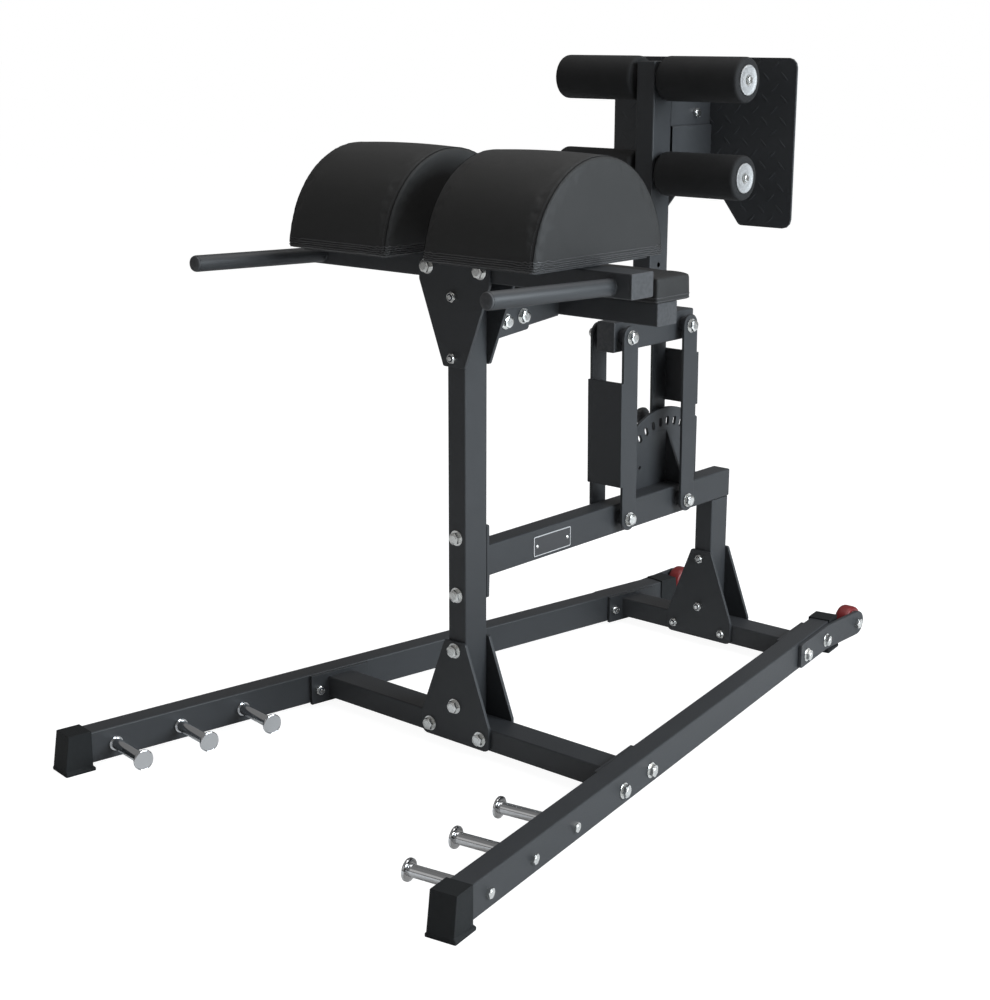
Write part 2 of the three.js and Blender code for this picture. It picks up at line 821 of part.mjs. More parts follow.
// Pivot bolt along X: washer and hexagon at each end of a plain shank
function pivotBoltGeometry() {
  const seat = linkOuterHalf + seatGap;
  const washer = seat + washerThickness;
  const end = washer + hexHeight;
  return geometryOf(joined(
    rod("x", pivotShaftRadius, -end + fuseDepth, end - fuseDepth, 0, 0),
    rod("x", washerRadius, seat, washer, 0, 0),
    rod("x", washerRadius, -washer, -seat, 0, 0),
    rod("x", hexRadius, washer - fuseDepth, end, 0, 0, 6),
    rod("x", hexRadius, -end, -washer + fuseDepth, 0, 0, 6),
  ));
}
const pivotBolts = [
  ["pivot_bolt_front_lower", frontPivotY, lowerPivotZ],
  ["pivot_bolt_rear_lower", rearPivotY, lowerPivotZ],
  ["pivot_bolt_front_upper", frontUpperY, upperPivotZ],
  ["pivot_bolt_rear_upper", rearUpperY, upperPivotZ],
];
for (const [name, y, z] of pivotBolts) {
  place(machine, name, pivotBoltGeometry(), zincSteel(), 0, y, z);
}

// Sector plate: drawn about the rear lower pivot, with radial slots on a circle and a
// triangular rib that stands across the beam's top
function sectorPlateGeometry() {
  const bottom = -tubeHeight / 2 + sectorSideInset;
  const cornerY = sectorCornerRadius * Math.sin(sectorCornerAngle);
  const cornerZ = sectorCornerRadius * Math.cos(sectorCornerAngle);
  const frontAngle = Math.asin(sectorFrontReach / sectorRadius);
  const arcStart = Math.PI / 2 - sectorCornerAngle + slotPitch / 4;
  const outline = [
    new THREE.Vector2(-sectorFrontReach, bottom),
    new THREE.Vector2(cornerY, bottom),
    new THREE.Vector2(cornerY, cornerZ - sectorCorner),
    new THREE.Vector2(cornerY - sectorCorner, cornerZ),
    ...arc(0, 0, sectorRadius, arcStart, Math.PI / 2 + frontAngle, 20),
  ];
  const slots = [];
  for (let i = -slotsForward; i <= slotsRearward; i += 1) {
    const angle = slotAngle + i * slotPitch;
    const centre = [slotRadius * Math.sin(angle), slotRadius * Math.cos(angle)];
    const along = (slotLength - slotWidth) / 2;
    const slot = [
      ...arc(0, along, slotWidth / 2, 0, Math.PI, 4),
      ...arc(0, -along, slotWidth / 2, Math.PI, Math.PI * 2, 4),
    ];
    const turned = slot.map((p) => p.clone().rotateAround(new THREE.Vector2(), -angle));
    slots.push(turned.map((p) => p.add(new THREE.Vector2(...centre))));
  }
  const round = (y, z, radius, steps) => arc(y, z, radius, 0, Math.PI * 2, steps).slice(0, -1);
  const holes = [
    ...slots,
    round(0, 0, sleeveRadius + turnGap, roundSides),
    round(-spareHoleReach, spareHoleRise, spareHoleRadius, boltSides),
  ];
  const face = -half;
  const plate = extruded("x", outline, holes, face - sectorThickness, face);
  const beamTop = tubeHeight / 2;
  const ribBack = half + sectorThickness / 2;
  const rib = extruded(
    "y",
    [
      new THREE.Vector2(-half, beamTop),
      new THREE.Vector2(ribBack, beamTop),
      new THREE.Vector2(ribBack, beamTop + ribRise),
      new THREE.Vector2(half, beamTop + ribRise),
      new THREE.Vector2(-half, beamTop + ribToe),
    ],
    [],
    ribPlace - ribThickness / 2,
    ribPlace + ribThickness / 2,
  );
  return geometryOf(joined(plate, rib));
}
const sector = sectorPlateGeometry();
place(machine, "sector_plate", sector, blackSteel(), 0, rearPivotY, lowerPivotZ);

// Carriage beam with its two sleeves, end caps at both ends
function carriageBeamGeometry() {
  const tube = steelTube(
    "y",
    -half,
    half,
    carriageTop - tubeHeight,
    carriageTop,
    carriageFront + capThickness,
    carriageRear - capThickness,
  );
  const pivots = [frontUpperY, rearUpperY];
  const sleeves = pivots.map((y) => (
    rod("x", sleeveRadius, -sleeveHalf, sleeveHalf, y, upperPivotZ)
  ));
  const bores = pivots.map((y) => (
    rod("x", pivotShaftRadius + seatGap, -linkInnerHalf, linkInnerHalf, y, upperPivotZ)
  ));
  return geometryOf(cut(joined(tube, ...sleeves), ...bores));
}
place(machine, "carriage_beam", carriageBeamGeometry(), blackSteel());
const carriageEnds = [
  ["carriage_cap_front", carriageFront + capThickness, -1],
  ["carriage_cap_rear", carriageRear - capThickness, 1],
];
for (const [name, face, outward] of carriageEnds) {
  const cap = endCap("y", -half, half, carriageTop - tubeHeight, carriageTop, face, outward);
  const clear = rod("x", sleeveRadius + seatGap, -half, half, frontUpperY, upperPivotZ);
  const clearRear = rod("x", sleeveRadius + seatGap, -half, half, rearUpperY, upperPivotZ);
  place(machine, name, geometryOf(cut(cap, clear, clearRear)), blackPlastic());
}

// Foot post with its moulded cap, the axle holes and one spare hole
function footPostGeometry() {
  const tubeTop = postTop - capThickness;
  const tube = steelTube("z", -half, half, postFront, postRear, carriageTop, tubeTop);
  const cap = endCap("z", -half, half, postFront, postRear, tubeTop, 1);
  const axles = rollerHeights.map((z) => (
    rod("x", axleRadius + turnGap, -half - overrun, half + overrun, postMiddle, z)
  ));
  const spare = rod("x", postHoleRadius, 0, half + overrun, postMiddle, postHoleHeight, boltSides);
  return geometryOf(cut(joined(tube, cap), ...axles, spare));
}
place(machine, "foot_post", footPostGeometry(), blackSteel());

// Bracket between post and footplate: a box section over a wider one
function footplateBracketGeometry() {
  const end = footplateFront;
  const upper = steelTube("y", -half, half, bracketSplit, bracketTop, postRear, end);
  const lower = steelTube(
    "y",
    -bracketLowerHalf,
    bracketLowerHalf,
    bracketBottom,
    bracketSplit + fuseDepth,
    postRear,
    end,
  );
  const reach = bracketLowerHalf + overrun;
  const hole = rod("x", bracketBoltRadius, -reach, reach, bracketBoltY, bracketBoltHeight, boltSides);
  return geometryOf(cut(joined(upper, lower), hole));
}
place(machine, "footplate_bracket", footplateBracketGeometry(), blackSteel());

// Footplate: rounded plate with a notch at its lower middle
function footplateGeometry() {
  const outline = filleted([
    [-footplateHalfWidth, footplateBottom, footplateCorner],
    [-notchBottomHalf, footplateBottom, notchCorner],
    [-notchMiddleHalf, footplateBottom + notchMiddleRise, 0],
    [-notchTopHalf, footplateBottom + notchTopRise, notchCorner],
    [notchTopHalf, footplateBottom + notchTopRise, notchCorner],
    [notchMiddleHalf, footplateBottom + notchMiddleRise, 0],
    [notchBottomHalf, footplateBottom, notchCorner],
    [footplateHalfWidth, footplateBottom, footplateCorner],
    [footplateHalfWidth, footplateTop, footplateCorner],
    [-footplateHalfWidth, footplateTop, footplateCorner],
  ]);
  const end = footplateFront + footplateThickness;
  return geometryOf(extruded("y", outline, [], footplateFront, end));
}
place(machine, "footplate", footplateGeometry(), blackSteel());

// Roller axles: a bar through the post with a zinc disc at each end
function axleGeometry() {
  const start = rollerOuter + seatGap;
  const end = start + axleDiscThickness;
  return geometryOf(joined(
    rod("x", axleRadius, -start - fuseDepth, start + fuseDepth, 0, 0),
    rod("x", axleDiscRadius, start, end, 0, 0, wideSides),
    rod("x", axleDiscRadius, -end, -start, 0, 0, wideSides),
  ));
}

// Foam roller: a sleeve with rounded ends that turns on its axle
function rollerGeometry() {
  const length = rollerOuter - rollerInner;
  const bore = axleRadius + turnGap;
  const rim = rollerRadius - rollerCorner;
  const quarter = Math.PI / 2;
  const near = arc(rim, rollerCorner, rollerCorner, -quarter, 0, 3);
  const far = arc(rim, length - rollerCorner, rollerCorner, 0, quarter, 3);
  const rims = [...near, ...far].map((p) => [p.x, p.y]);
  const profile = [[bore, 0], ...rims, [bore, length], [bore, 0]];
  return geometryOf(solidOf(revolved(profile, wideSides).rotateZ(-Math.PI / 2)));
}
const rollerWords = ["lower", "upper"];
rollerHeights.forEach((z, i) => {
  const word = rollerWords[i];
  place(machine, `roller_axle_${word}`, axleGeometry(), zincSteel(), 0, postMiddle, z);
  const right = rollerGeometry();
  place(machine, `roller_${word}_right`, right, blackFoam(), rollerInner, postMiddle, z);
  const left = mirrored(right);
  place(machine, `roller_${word}_left`, left, blackFoam(), -rollerInner, postMiddle, z);
});

// Pad crossbar with its end caps
function crossbarGeometry() {
  const end = crossbarHalfLength - capThickness;
  const tube = steelTube("x", 0, tubeHeight, crossbarBottom, crossbarTop, -end, end);
  const holes = [-gussetBoltSide, gussetBoltSide].map((x) => (
    rod("y", boltHoleRadius, -overrun, tubeHeight + overrun, x, crossbarMiddle, boltSides)
  ));
  return geometryOf(cut(tube, ...holes));
}
place(machine, "pad_crossbar", crossbarGeometry(), blackSteel());
for (const { word, sign } of sides) {
  const face = sign * (crossbarHalfLength - capThickness);
  const cap = endCap("x", 0, tubeHeight, crossbarBottom, crossbarTop, face, sign);
  place(machine, `crossbar_cap_${word}`, geometryOf(cap), blackPlastic());
}

// Grab handle: an open tube with a domed plug in its free end, drawn along +Y
function handleGeometry() {
  const bore = handleRadius - handleWall;
  const dome = arc(0, handleLength, handleRadius, 0, Math.PI / 2, 5)
    .map((p) => [p.x, handleLength + (p.y - handleLength) * (handlePlugDome / handleRadius)]);
  return geometryOf(solidOf(revolved([
    [bore, 0],
    [handleRadius, 0],
    ...dome,
    [0, handleLength - handlePlugLength],
    [bore, handleLength - handlePlugLength],
    [bore, 0],
  ])));
}
const handleSeat = seatGap + handleRadius * Math.sin(handleTilt);
for (const { word, sign } of sides) {
  const handle = place(
    machine,
    `handle_${word}`,
    handleGeometry(),
    blackSteel(),
    sign * handleSide,
    -handleSeat,
    handleHeight,
  );
  handle.rotation.x = Math.PI - handleTilt;
}

// A cushion: one section drawn in (y, z), repeated along X. The section swells by crown at the
// middle and draws in at both ends over a rounded edge, about the point (baseY, baseZ).
function cushion(section, baseY, baseZ, x0, x1, reach, crown, edge) {
  const stations = [];
  const edgeSteps = 4;
  const middleSteps = 8;
  for (let i = 0; i <= edgeSteps; i += 1) {
    const turn = (i / edgeSteps) * (Math.PI / 2);
    stations.push([x0 + edge * (1 - Math.cos(turn)), edge * (1 - Math.sin(turn))]);
  }
  for (let i = 1; i < middleSteps; i += 1) {
    stations.push([x0 + edge + ((x1 - x0 - 2 * edge) * i) / middleSteps, 0]);
  }
  for (let i = edgeSteps; i >= 0; i -= 1) {
    const turn = (i / edgeSteps) * (Math.PI / 2);
    stations.push([x1 - edge * (1 - Math.cos(turn)), edge * (1 - Math.sin(turn))]);
  }
  const places = [];
  const centreX = (x0 + x1) / 2;
  for (const [x, drawnIn] of stations) {
    const share = (2 * (x - centreX)) / (x1 - x0);
    const scale = (reach - drawnIn + crown * (1 - share * share)) / reach;
    for (const p of section) {
      places.push(x, baseY + (p.x - baseY) * scale, baseZ + (p.y - baseZ) * scale);
    }
  }
  const count = section.length;
  const corners = [];
  for (let i = 0; i + 1 < stations.length; i += 1) {
    for (let j = 0; j < count; j += 1) {
      const next = (j + 1) % count;
      const [a, b] = [i * count + j, i * count + next];
      corners.push(a, a + count, b, b, a + count, b + count);
    }
  }
  const last = (stations.length - 1) * count;
  const cap = THREE.ShapeUtils.triangulateShape(section, []);
  for (const [a, b, c] of cap) {
    corners.push(a, c, b);
    corners.push(last + a, last + b, last + c);
  }
  const geometry = new THREE.BufferGeometry();
  geometry.setAttribute("position", new THREE.Float32BufferAttribute(places, 3));
  geometry.setIndex(corners);
  return geometry;
}

// Thigh pad: half-round section on a board that rests on the crossbar
function thighPadGeometry() {
  const middle = towerMiddle + thighPadSetback;
  const spread = thighPadHeight / thighPadHalfDepth;
  const section = arc(0, 0, thighPadHalfDepth, 0, Math.PI, 32).map((p) => (
    new THREE.Vector2(middle + p.x, thighPadBottom + p.y * spread)
  )).reverse();
  const pad = solidOf(cushion(
    section,
    middle,
    thighPadBottom,
    thighPadInner,
    thighPadOuter,
    thighPadHalfDepth,
    thighPadCrown,
    thighPadEdge,
  ));
  const boardHalf = thighPadHalfDepth - thighPadEdge - thighBoardInset;
  const inset = thighPadEdge + thighBoardInset;
  const board = block(
    thighPadInner + inset,
    thighPadOuter - inset,
    middle - boardHalf,
    middle + boardHalf,
    crossbarTop,
    thighPadBottom + fuseDepth,
  );
  return geometryOf(joined(pad, board));
}
const thighPad = thighPadGeometry();
place(machine, "thigh_pad_right", thighPad, blackVinyl());
place(machine, "thigh_pad_left", mirrored(thighPad), blackVinyl());

// Knee pad frame: an inclined tube that runs back from the clevis and a bar across its end
function kneeFrameGeometry() {
  const barTop = kneeBarBottom + tubeWidth;
  const barRear = kneeBarFront + tubeHeight;
  const face = kneeBarHalfLength - capThickness;
  const bar = steelTube("x", kneeBarFront, barRear, kneeBarBottom, barTop, -face, face);
  const start = tubeHeight + gussetThickness + seatGap;
  const outer = rectangle(-half, half, -half, half, tubeCorner, 3);
  const innerHalf = half - tubeWall;
  const inner = rectangle(-innerHalf, innerHalf, -innerHalf, innerHalf, tubeCorner - tubeWall, 1);
  const shape = new THREE.Shape(outer);
  shape.holes = [new THREE.Path(inner)];
  const run = kneeBarFront - start + tubeHeight;
  const arm = new THREE.ExtrudeGeometry(shape, { depth: run, bevelEnabled: false });
  arm.translate(0, 0, -half).applyMatrix4(planes.y);
  arm.rotateX(kneeTubeTilt).translate(0, start, kneeAxisHeight(start));
  const reach = tubeHeight + overrun;
  const wide = half + overrun;
  const low = kneeBarBottom - reach;
  const high = barTop + reach;
  const frontTrim = block(-wide, wide, start - reach, start, low, high);
  const rearTrim = block(-wide, wide, kneeBarFront + fuseDepth, barRear + reach, low, high);
  return geometryOf(joined(bar, cut(solidOf(arm), frontTrim, rearTrim)));
}
place(machine, "knee_pad_frame", kneeFrameGeometry(), blackSteel());

// Knee pad: a flat cushion with rounded upper edges on the cross bar
function kneePadGeometry() {
  const bottom = kneeBarBottom + tubeWidth;
  const top = bottom + kneePadThickness - kneePadCrown;
  const section = filleted([
    [kneePadFront, bottom, 0],
    [kneePadFront, top, kneePadCorner],
    [kneePadRear, top, kneePadCorner],
    [kneePadRear, bottom, 0],
  ]);
  const middle = (kneePadFront + kneePadRear) / 2;
  const reach = (kneePadRear - kneePadFront) / 2;
  return geometryOf(solidOf(cushion(
    section,
    middle,
    bottom,
    -kneePadHalfLength,
    kneePadHalfLength,
    reach,
    kneePadCrown,
    kneePadEdge,
  )));
}
place(machine, "knee_pad", kneePadGeometry(), blackVinyl());

// Outer face of the wheel bracket's rear leg, which runs straight back from the bend
const bracketOuterFace = half + seatGap + wheelBracketThickness;
const legOuterX = railCentreAtTower - wheelBracketBend * Math.sin(railSplay)
  + bracketOuterFace * Math.cos(railSplay);
const legBendY = wheelBracketBend * Math.cos(railSplay) + bracketOuterFace * Math.sin(railSplay);
const legInnerX = legOuterX - wheelBracketThickness;
const wheelAxleZ = (wheelBracketBottom + wheelBracketTop) / 2;

// Wheel bracket: a plate on the rail's outer face, bent so that its rear leg runs straight
// back, with a round end at the axle
function wheelBracketGeometry() {
  const front = filleted([
    [wheelBracketStart, wheelBracketBottom, wheelBracketCorner],
    [wheelBracketBend, wheelBracketBottom, 0],
    [wheelBracketBend, wheelBracketTop, 0],
    [wheelBracketStart, wheelBracketTop, wheelBracketCorner],
  ]);
  const inner = half + seatGap;
  const onRail = new THREE.Matrix4()
    .makeTranslation(railCentreAtTower, 0, 0)
    .multiply(new THREE.Matrix4().makeRotationZ(railSplay));
  const frontLeg = geometryOf(extruded("x", front, [], inner, bracketOuterFace));
  frontLeg.applyMatrix4(onRail);
  const endRadius = wheelAxleZ - wheelBracketBottom;
  const quarter = Math.PI / 2;
  const legStart = legBendY - wheelBracketThickness * Math.sin(railSplay) - fuseDepth / 2;
  const rear = [
    new THREE.Vector2(legStart, wheelBracketBottom),
    ...arc(wheelAxleY, wheelAxleZ, endRadius, -quarter, quarter, 12),
    new THREE.Vector2(legStart, wheelBracketTop),
  ];
  const hole = arc(wheelAxleY, wheelAxleZ, wheelAxleRadius + seatGap, 0, Math.PI * 2, roundSides);
  const rearLeg = extruded("x", rear, [hole.slice(0, -1)], legInnerX, legOuterX);
  return geometryOf(joined(solidOf(frontLeg), rearLeg));
}

// Transport wheel: tyre and dished hub in one revolved section, drawn along +X
function wheelGeometry() {
  const bore = wheelAxleRadius + turnGap;
  return geometryOf(solidOf(revolved([
    [bore, 0],
    [wheelHubRadius, 0],
    [wheelHubRadius, wheelHubDish],
    [wheelFaceRadius, wheelHubDish],
    [wheelFaceRadius, 0],
    [wheelRadius - wheelTyreCorner, 0],
    [wheelRadius, wheelTyreCorner],
    [wheelRadius, wheelWidth - wheelTyreCorner],
    [wheelRadius - wheelTyreCorner, wheelWidth],
    [wheelFaceRadius, wheelWidth],
    [wheelFaceRadius, wheelWidth - wheelHubDish],
    [wheelHubRadius, wheelWidth - wheelHubDish],
    [wheelHubRadius, wheelWidth],
    [bore, wheelWidth],
    [bore, 0],
  ], wideSides).rotateZ(-Math.PI / 2)));
}

// Wheel axle bolt: head outside the bracket, spacer between bracket and wheel, nut inside
function wheelAxleGeometry() {
  const wheelEnd = legInnerX - wheelSpacer;
  const wheelStart = wheelEnd - wheelWidth;
  const nutStart = wheelStart - turnGap - hexHeight;
  const headEnd = legOuterX + seatGap + hexHeight;
  return geometryOf(joined(
    rod("x", wheelAxleRadius, nutStart + fuseDepth, headEnd - fuseDepth, 0, 0),
    rod("x", wheelSpacerRadius, wheelEnd + turnGap, legInnerX - seatGap, 0, 0),
    rod("x", hexRadius, nutStart, wheelStart - turnGap, 0, 0, 6),
    rod("x", hexRadius, legOuterX + seatGap, headEnd, 0, 0, 6),
  ));
}
const bracket = wheelBracketGeometry();
const wheelAxle = wheelAxleGeometry();
const wheel = wheelGeometry();
wheel.translate(legInnerX - wheelSpacer - wheelWidth, 0, 0);
place(machine, "wheel_bracket_right", bracket, blackSteel());
place(machine, "wheel_bracket_left", mirrored(bracket), blackSteel());
place(machine, "wheel_axle_right", wheelAxle, zincSteel(), 0, wheelAxleY, wheelAxleZ);
place(machine, "wheel_axle_left", mirrored(wheelAxle), zincSteel(), 0, wheelAxleY, wheelAxleZ);
place(machine, "wheel_right", wheel, redTyre(), 0, wheelAxleY, wheelAxleZ);
place(machine, "wheel_left", mirrored(wheel), redTyre(), 0, wheelAxleY, wheelAxleZ);

// The origin lies on the floor, under the middle of the machine's length
const group = new THREE.Group();
group.add(machine);
group.updateMatrixWorld(true);
const extent = new THREE.Box3().setFromObject(machine, true);
machine.position.y = -(extent.min.y + extent.max.y) / 2;
group.updateMatrixWorld(true);

export default group;
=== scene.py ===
import bpy
import numpy as np
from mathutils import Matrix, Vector


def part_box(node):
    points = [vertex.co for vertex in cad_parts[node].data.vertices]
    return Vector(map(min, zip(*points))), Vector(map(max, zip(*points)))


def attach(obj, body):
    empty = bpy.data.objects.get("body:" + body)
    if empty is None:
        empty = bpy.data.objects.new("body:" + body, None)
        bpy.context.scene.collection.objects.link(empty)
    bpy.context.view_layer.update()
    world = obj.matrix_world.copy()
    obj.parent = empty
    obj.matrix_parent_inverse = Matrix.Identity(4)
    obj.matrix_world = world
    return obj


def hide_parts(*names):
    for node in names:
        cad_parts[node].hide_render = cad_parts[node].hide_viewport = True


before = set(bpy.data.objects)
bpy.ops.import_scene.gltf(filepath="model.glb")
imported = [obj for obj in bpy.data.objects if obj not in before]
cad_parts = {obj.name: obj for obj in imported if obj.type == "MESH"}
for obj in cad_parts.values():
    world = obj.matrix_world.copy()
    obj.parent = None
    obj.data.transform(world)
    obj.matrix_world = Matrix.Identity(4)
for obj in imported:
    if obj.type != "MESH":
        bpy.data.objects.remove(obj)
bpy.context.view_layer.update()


# The photographer's set: a white floor that runs out of sight, a tall softbox on the machine's
# right that lights every face on that side, a wide one overhead, and a long lens held at chest
# height from the front right corner.
scene = bpy.context.scene
scene.view_settings.view_transform = "Standard"

lens = bpy.data.cameras.new("studio_lens")
lens.lens = 63.76
lens.sensor_width = 36
lens.clip_end = 200
camera = bpy.data.objects.new("studio_camera", lens)
camera.location = (2.43893, -3.00125, 1.52134)
camera.rotation_euler = np.radians((75.3302, -0.1569, 40.8563))
scene.collection.objects.link(camera)
scene.camera = camera


def softbox(name, place, aim, size, power, tint):
    """A rectangular lamp at place whose face looks at aim."""
    lamp = bpy.data.lights.new(name, "AREA")
    lamp.shape = "RECTANGLE"
    lamp.size, lamp.size_y = size
    lamp.energy = power
    lamp.color = tint
    holder = bpy.data.objects.new(name, lamp)
    holder.location = place
    holder.rotation_euler = (Vector(aim) - Vector(place)).to_track_quat("-Z", "Y").to_euler()
    scene.collection.objects.link(holder)


cool, neutral = (0.85, 0.935, 1.0), (1.0, 0.99, 0.98)
softbox("softbox_right", (4.6, 0.9, 2.3), (0.0, 0.1, 0.6), (3.6, 2.6), 306, cool)
softbox("softbox_overhead", (0.4, 0.6, 4.2), (0.0, 0.0, 0.6), (3.4, 3.4), 66, neutral)
softbox("softbox_front", (-1.2, -4.6, 2.2), (0.0, 0.0, 0.7), (2.4, 2.4), 5.5, neutral)

floor_mesh = bpy.data.meshes.new("studio_floor")
reach = 80.0
floor_mesh.from_pydata(
    [(-reach, -reach, 0.0), (reach, -reach, 0.0), (reach, reach, 0.0), (-reach, reach, 0.0)],
    [],
    [(0, 1, 2, 3)],
)
floor = bpy.data.objects.new("studio_floor", floor_mesh)
scene.collection.objects.link(floor)


class Reading:
    """A number that varies over a surface. Python's operators on it add Math nodes."""

    def __init__(self, finish, socket):
        self.finish, self.socket = finish, socket

    def math(self, operation, *operands):
        settings = {"operation": operation}
        return self.finish.node("ShaderNodeMath", settings, dict(enumerate(operands)))

    def __add__(self, other):
        return self.math("ADD", self, other)

    def __mul__(self, other):
        return self.math("MULTIPLY", self, other)

    __radd__, __rmul__ = __add__, __mul__


class Finish:
    """One surface finish: a Principled surface with plain numbers on its own sockets, and the
    nodes that vary its colour, roughness and relief."""

    def __init__(self, name, metal=0.0, specular=0.5):
        self.material = bpy.data.materials.new(name)
        self.material.use_nodes = True
        self.tree = self.material.node_tree
        self.surface = self.tree.nodes["Principled BSDF"]
        self.surface.inputs["Metallic"].default_value = metal
        self.surface.inputs["Specular IOR Level"].default_value = specular
        self.place = self.node("ShaderNodeTexCoord", {}, {}, "Object")

    def node(self, kind, settings, sockets, output=0):
        """Adds a node: its settings first, then a value or a link for each socket."""
        made = self.tree.nodes.new(kind)
        for name, value in settings.items():
            setattr(made, name, value)
        for name, value in sockets.items():
            if isinstance(value, Reading):
                self.tree.links.new(value.socket, made.inputs[name])
            else:
                made.inputs[name].default_value = value
        return Reading(self, made.outputs[output])

    def grain(self, per_metre, detail=2.0, stretch=(1.0, 1.0, 1.0)):
        """Soft noise of so many lumps a metre, from 0 to 1, drawn out along an axis."""
        along = self.node("ShaderNodeMapping", {}, {"Vector": self.place, "Scale": stretch})
        sockets = {"Vector": along, "Scale": per_metre, "Detail": detail}
        return self.node("ShaderNodeTexNoise", {}, sockets, "Fac")

    def cells(self, per_metre, feature="DISTANCE_TO_EDGE"):
        """Distance to the nearest crack of a pattern of so many cells a metre."""
        sockets = {"Vector": self.place, "Scale": per_metre}
        return self.node("ShaderNodeTexVoronoi", {"feature": feature}, sockets, "Distance")

    def ramp(self, reading, low, high, start=0.0, end=1.0):
        """Carries a reading from the range low to high smoothly to the range start to end."""
        sockets = {"Value": reading, 1: low, 2: high, 3: start, 4: end}
        return self.node("ShaderNodeMapRange", {"interpolation_type": "SMOOTHSTEP"}, sockets)

    def between(self, share, first, second):
        """The colour that lies so far between two colours, each three numbers or a mix."""
        colours = [c if isinstance(c, Reading) else (*c, 1.0) for c in (first, second)]
        sockets = {0: share, 6: colours[0], 7: colours[1]}
        return self.node("ShaderNodeMix", {"data_type": "RGBA"}, sockets, 2)

    def drive(self, socket, reading):
        self.tree.links.new(reading.socket, self.surface.inputs[socket])

    def relief(self, height, depth):
        """Raises the surface by height, from 0 to 1, times depth in metres."""
        bump = self.node("ShaderNodeBump", {}, {"Height": height, "Distance": depth}, "Normal")
        self.drive("Normal", bump)


paper = Finish("white_floor")
camera_ray = paper.node("ShaderNodeLightPath", {}, {}, "Is Camera Ray")
glow = paper.node("ShaderNodeEmission", {}, {"Color": (1.0, 1.0, 1.0, 1.0), "Strength": 1.56})
sheet = paper.node("ShaderNodeBsdfDiffuse", {}, {"Color": (0.8, 0.8, 0.8, 1.0)})
seen = paper.node("ShaderNodeMixShader", {}, {0: camera_ray * 0.6, 1: sheet, 2: glow})
paper.tree.links.new(seen.socket, paper.tree.nodes["Material Output"].inputs["Surface"])
floor_mesh.materials.append(paper.material)

sky = bpy.data.worlds.new("white_room")
sky.use_nodes = True
scene.world = sky
dim = sky.node_tree.nodes["Background"]
dim.inputs["Color"].default_value = (1.0, 1.0, 1.0, 1.0)
dim.inputs["Strength"].default_value = 0.20
bright = sky.node_tree.nodes.new("ShaderNodeBackground")
ray = sky.node_tree.nodes.new("ShaderNodeLightPath")
either = sky.node_tree.nodes.new("ShaderNodeMixShader")
sky.node_tree.links.new(ray.outputs["Is Camera Ray"], either.inputs[0])
bright.inputs["Color"].default_value = (1.0, 1.0, 1.0, 1.0)
sky.node_tree.links.new(dim.outputs[0], either.inputs[1])
sky.node_tree.links.new(bright.outputs[0], either.inputs[2])
sky.node_tree.links.new(either.outputs[0], sky.node_tree.nodes["World Output"].inputs[0])


# Floor rails: two lengths of 50 by 70 mm steel tube that spread towards the front. All of the
# frame is blasted, then sprayed and baked in satin black powder, which leaves a fine orange
# peel and slightly rounded edges.
powder = Finish("black_powder_coat", specular=0.42)
cloudy = powder.grain(7.0, 3.0)
peel = powder.grain(620.0, 1.0)
dust = powder.grain(2600.0, 2.0)
deep_black, thin_black = (0.0290, 0.0305, 0.0330), (0.0380, 0.0402, 0.0435)
powder.drive("Base Color", powder.between(cloudy, deep_black, thin_black))
powder.drive("Roughness", 0.40 + dust * 0.08 + cloudy * 0.06)
powder.relief(peel * 0.7 + dust * 0.3, 0.00016)


def dressed(names, finish, edge):
    """Gives solids of the frame a finish, and rounds their edges by so many metres."""
    for name in names:
        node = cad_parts[name]
        node.data.materials.clear()
        node.data.materials.append(finish.material)
        smooth = np.ones(len(node.data.polygons), bool)
        node.data.polygons.foreach_set("use_smooth", smooth)
        node.modifiers.new("joined", "WELD").merge_threshold = 0.00001
        rounded = node.modifiers.new("edges", "BEVEL")
        rounded.width = edge
        rounded.segments = 2
        rounded.limit_method = "ANGLE"
        rounded.angle_limit = np.radians(40)
        rounded.use_clamp_overlap = False
        node.modifiers.new("shading", "WEIGHTED_NORMAL")


dressed(["rail_right", "rail_left"], powder, 0.0008)

splay = np.radians(9.48)
rail_out = 0.440  # X of a rail's middle level with the front tower
half_tube = 0.0250
tower_face = -0.3019321  # Y of the front tower's front face


def on_rail(out, station, height, side):
    """A point so far out from the rail's middle, at a station along it, for side 1 or -1."""
    x = rail_out + out * np.cos(splay) - station * np.sin(splay)
    y = station * np.cos(splay) + out * np.sin(splay) + tower_face
    return np.array((side * x, y, height))


def off_rail(side):
    """The direction straight out of a rail's outer face."""
    return np.array((side * np.cos(splay), np.sin(splay), 0.0))


# Rubber boots pulled over the rail ends, with a lip at the foot: moulded black rubber with a
# dull, faintly pitted skin.
rubber = Finish("moulded_rubber", specular=0.30)
worn = rubber.grain(28.0, 3.0)
pits = rubber.grain(1500.0, 2.0)
rubber.drive("Base Color", rubber.between(worn, (0.006, 0.007, 0.0076), (0.013, 0.0146, 0.0156)))
rubber.drive("Roughness", 0.58 + pits * 0.2)
rubber.relief(pits, 0.00018)
boots = ["foot_front_right", "foot_front_left", "foot_rear_right", "foot_rear_left"]
dressed(boots, rubber, 0.0008)


# Storage pegs: turned steel bars with a collar against the rail and a disc at the end that
# keeps the plates on, polished and chromed, each held by a bolt through the rail.
chrome = Finish("bright_chrome", metal=1.0)
lathe = chrome.grain(900.0, 2.0, (0.06, 1.0, 1.0))
chrome.drive("Base Color", chrome.between(lathe, (0.66, 0.67, 0.68), (0.80, 0.80, 0.81)))
chrome.drive("Roughness", 0.07 + lathe * 0.08)

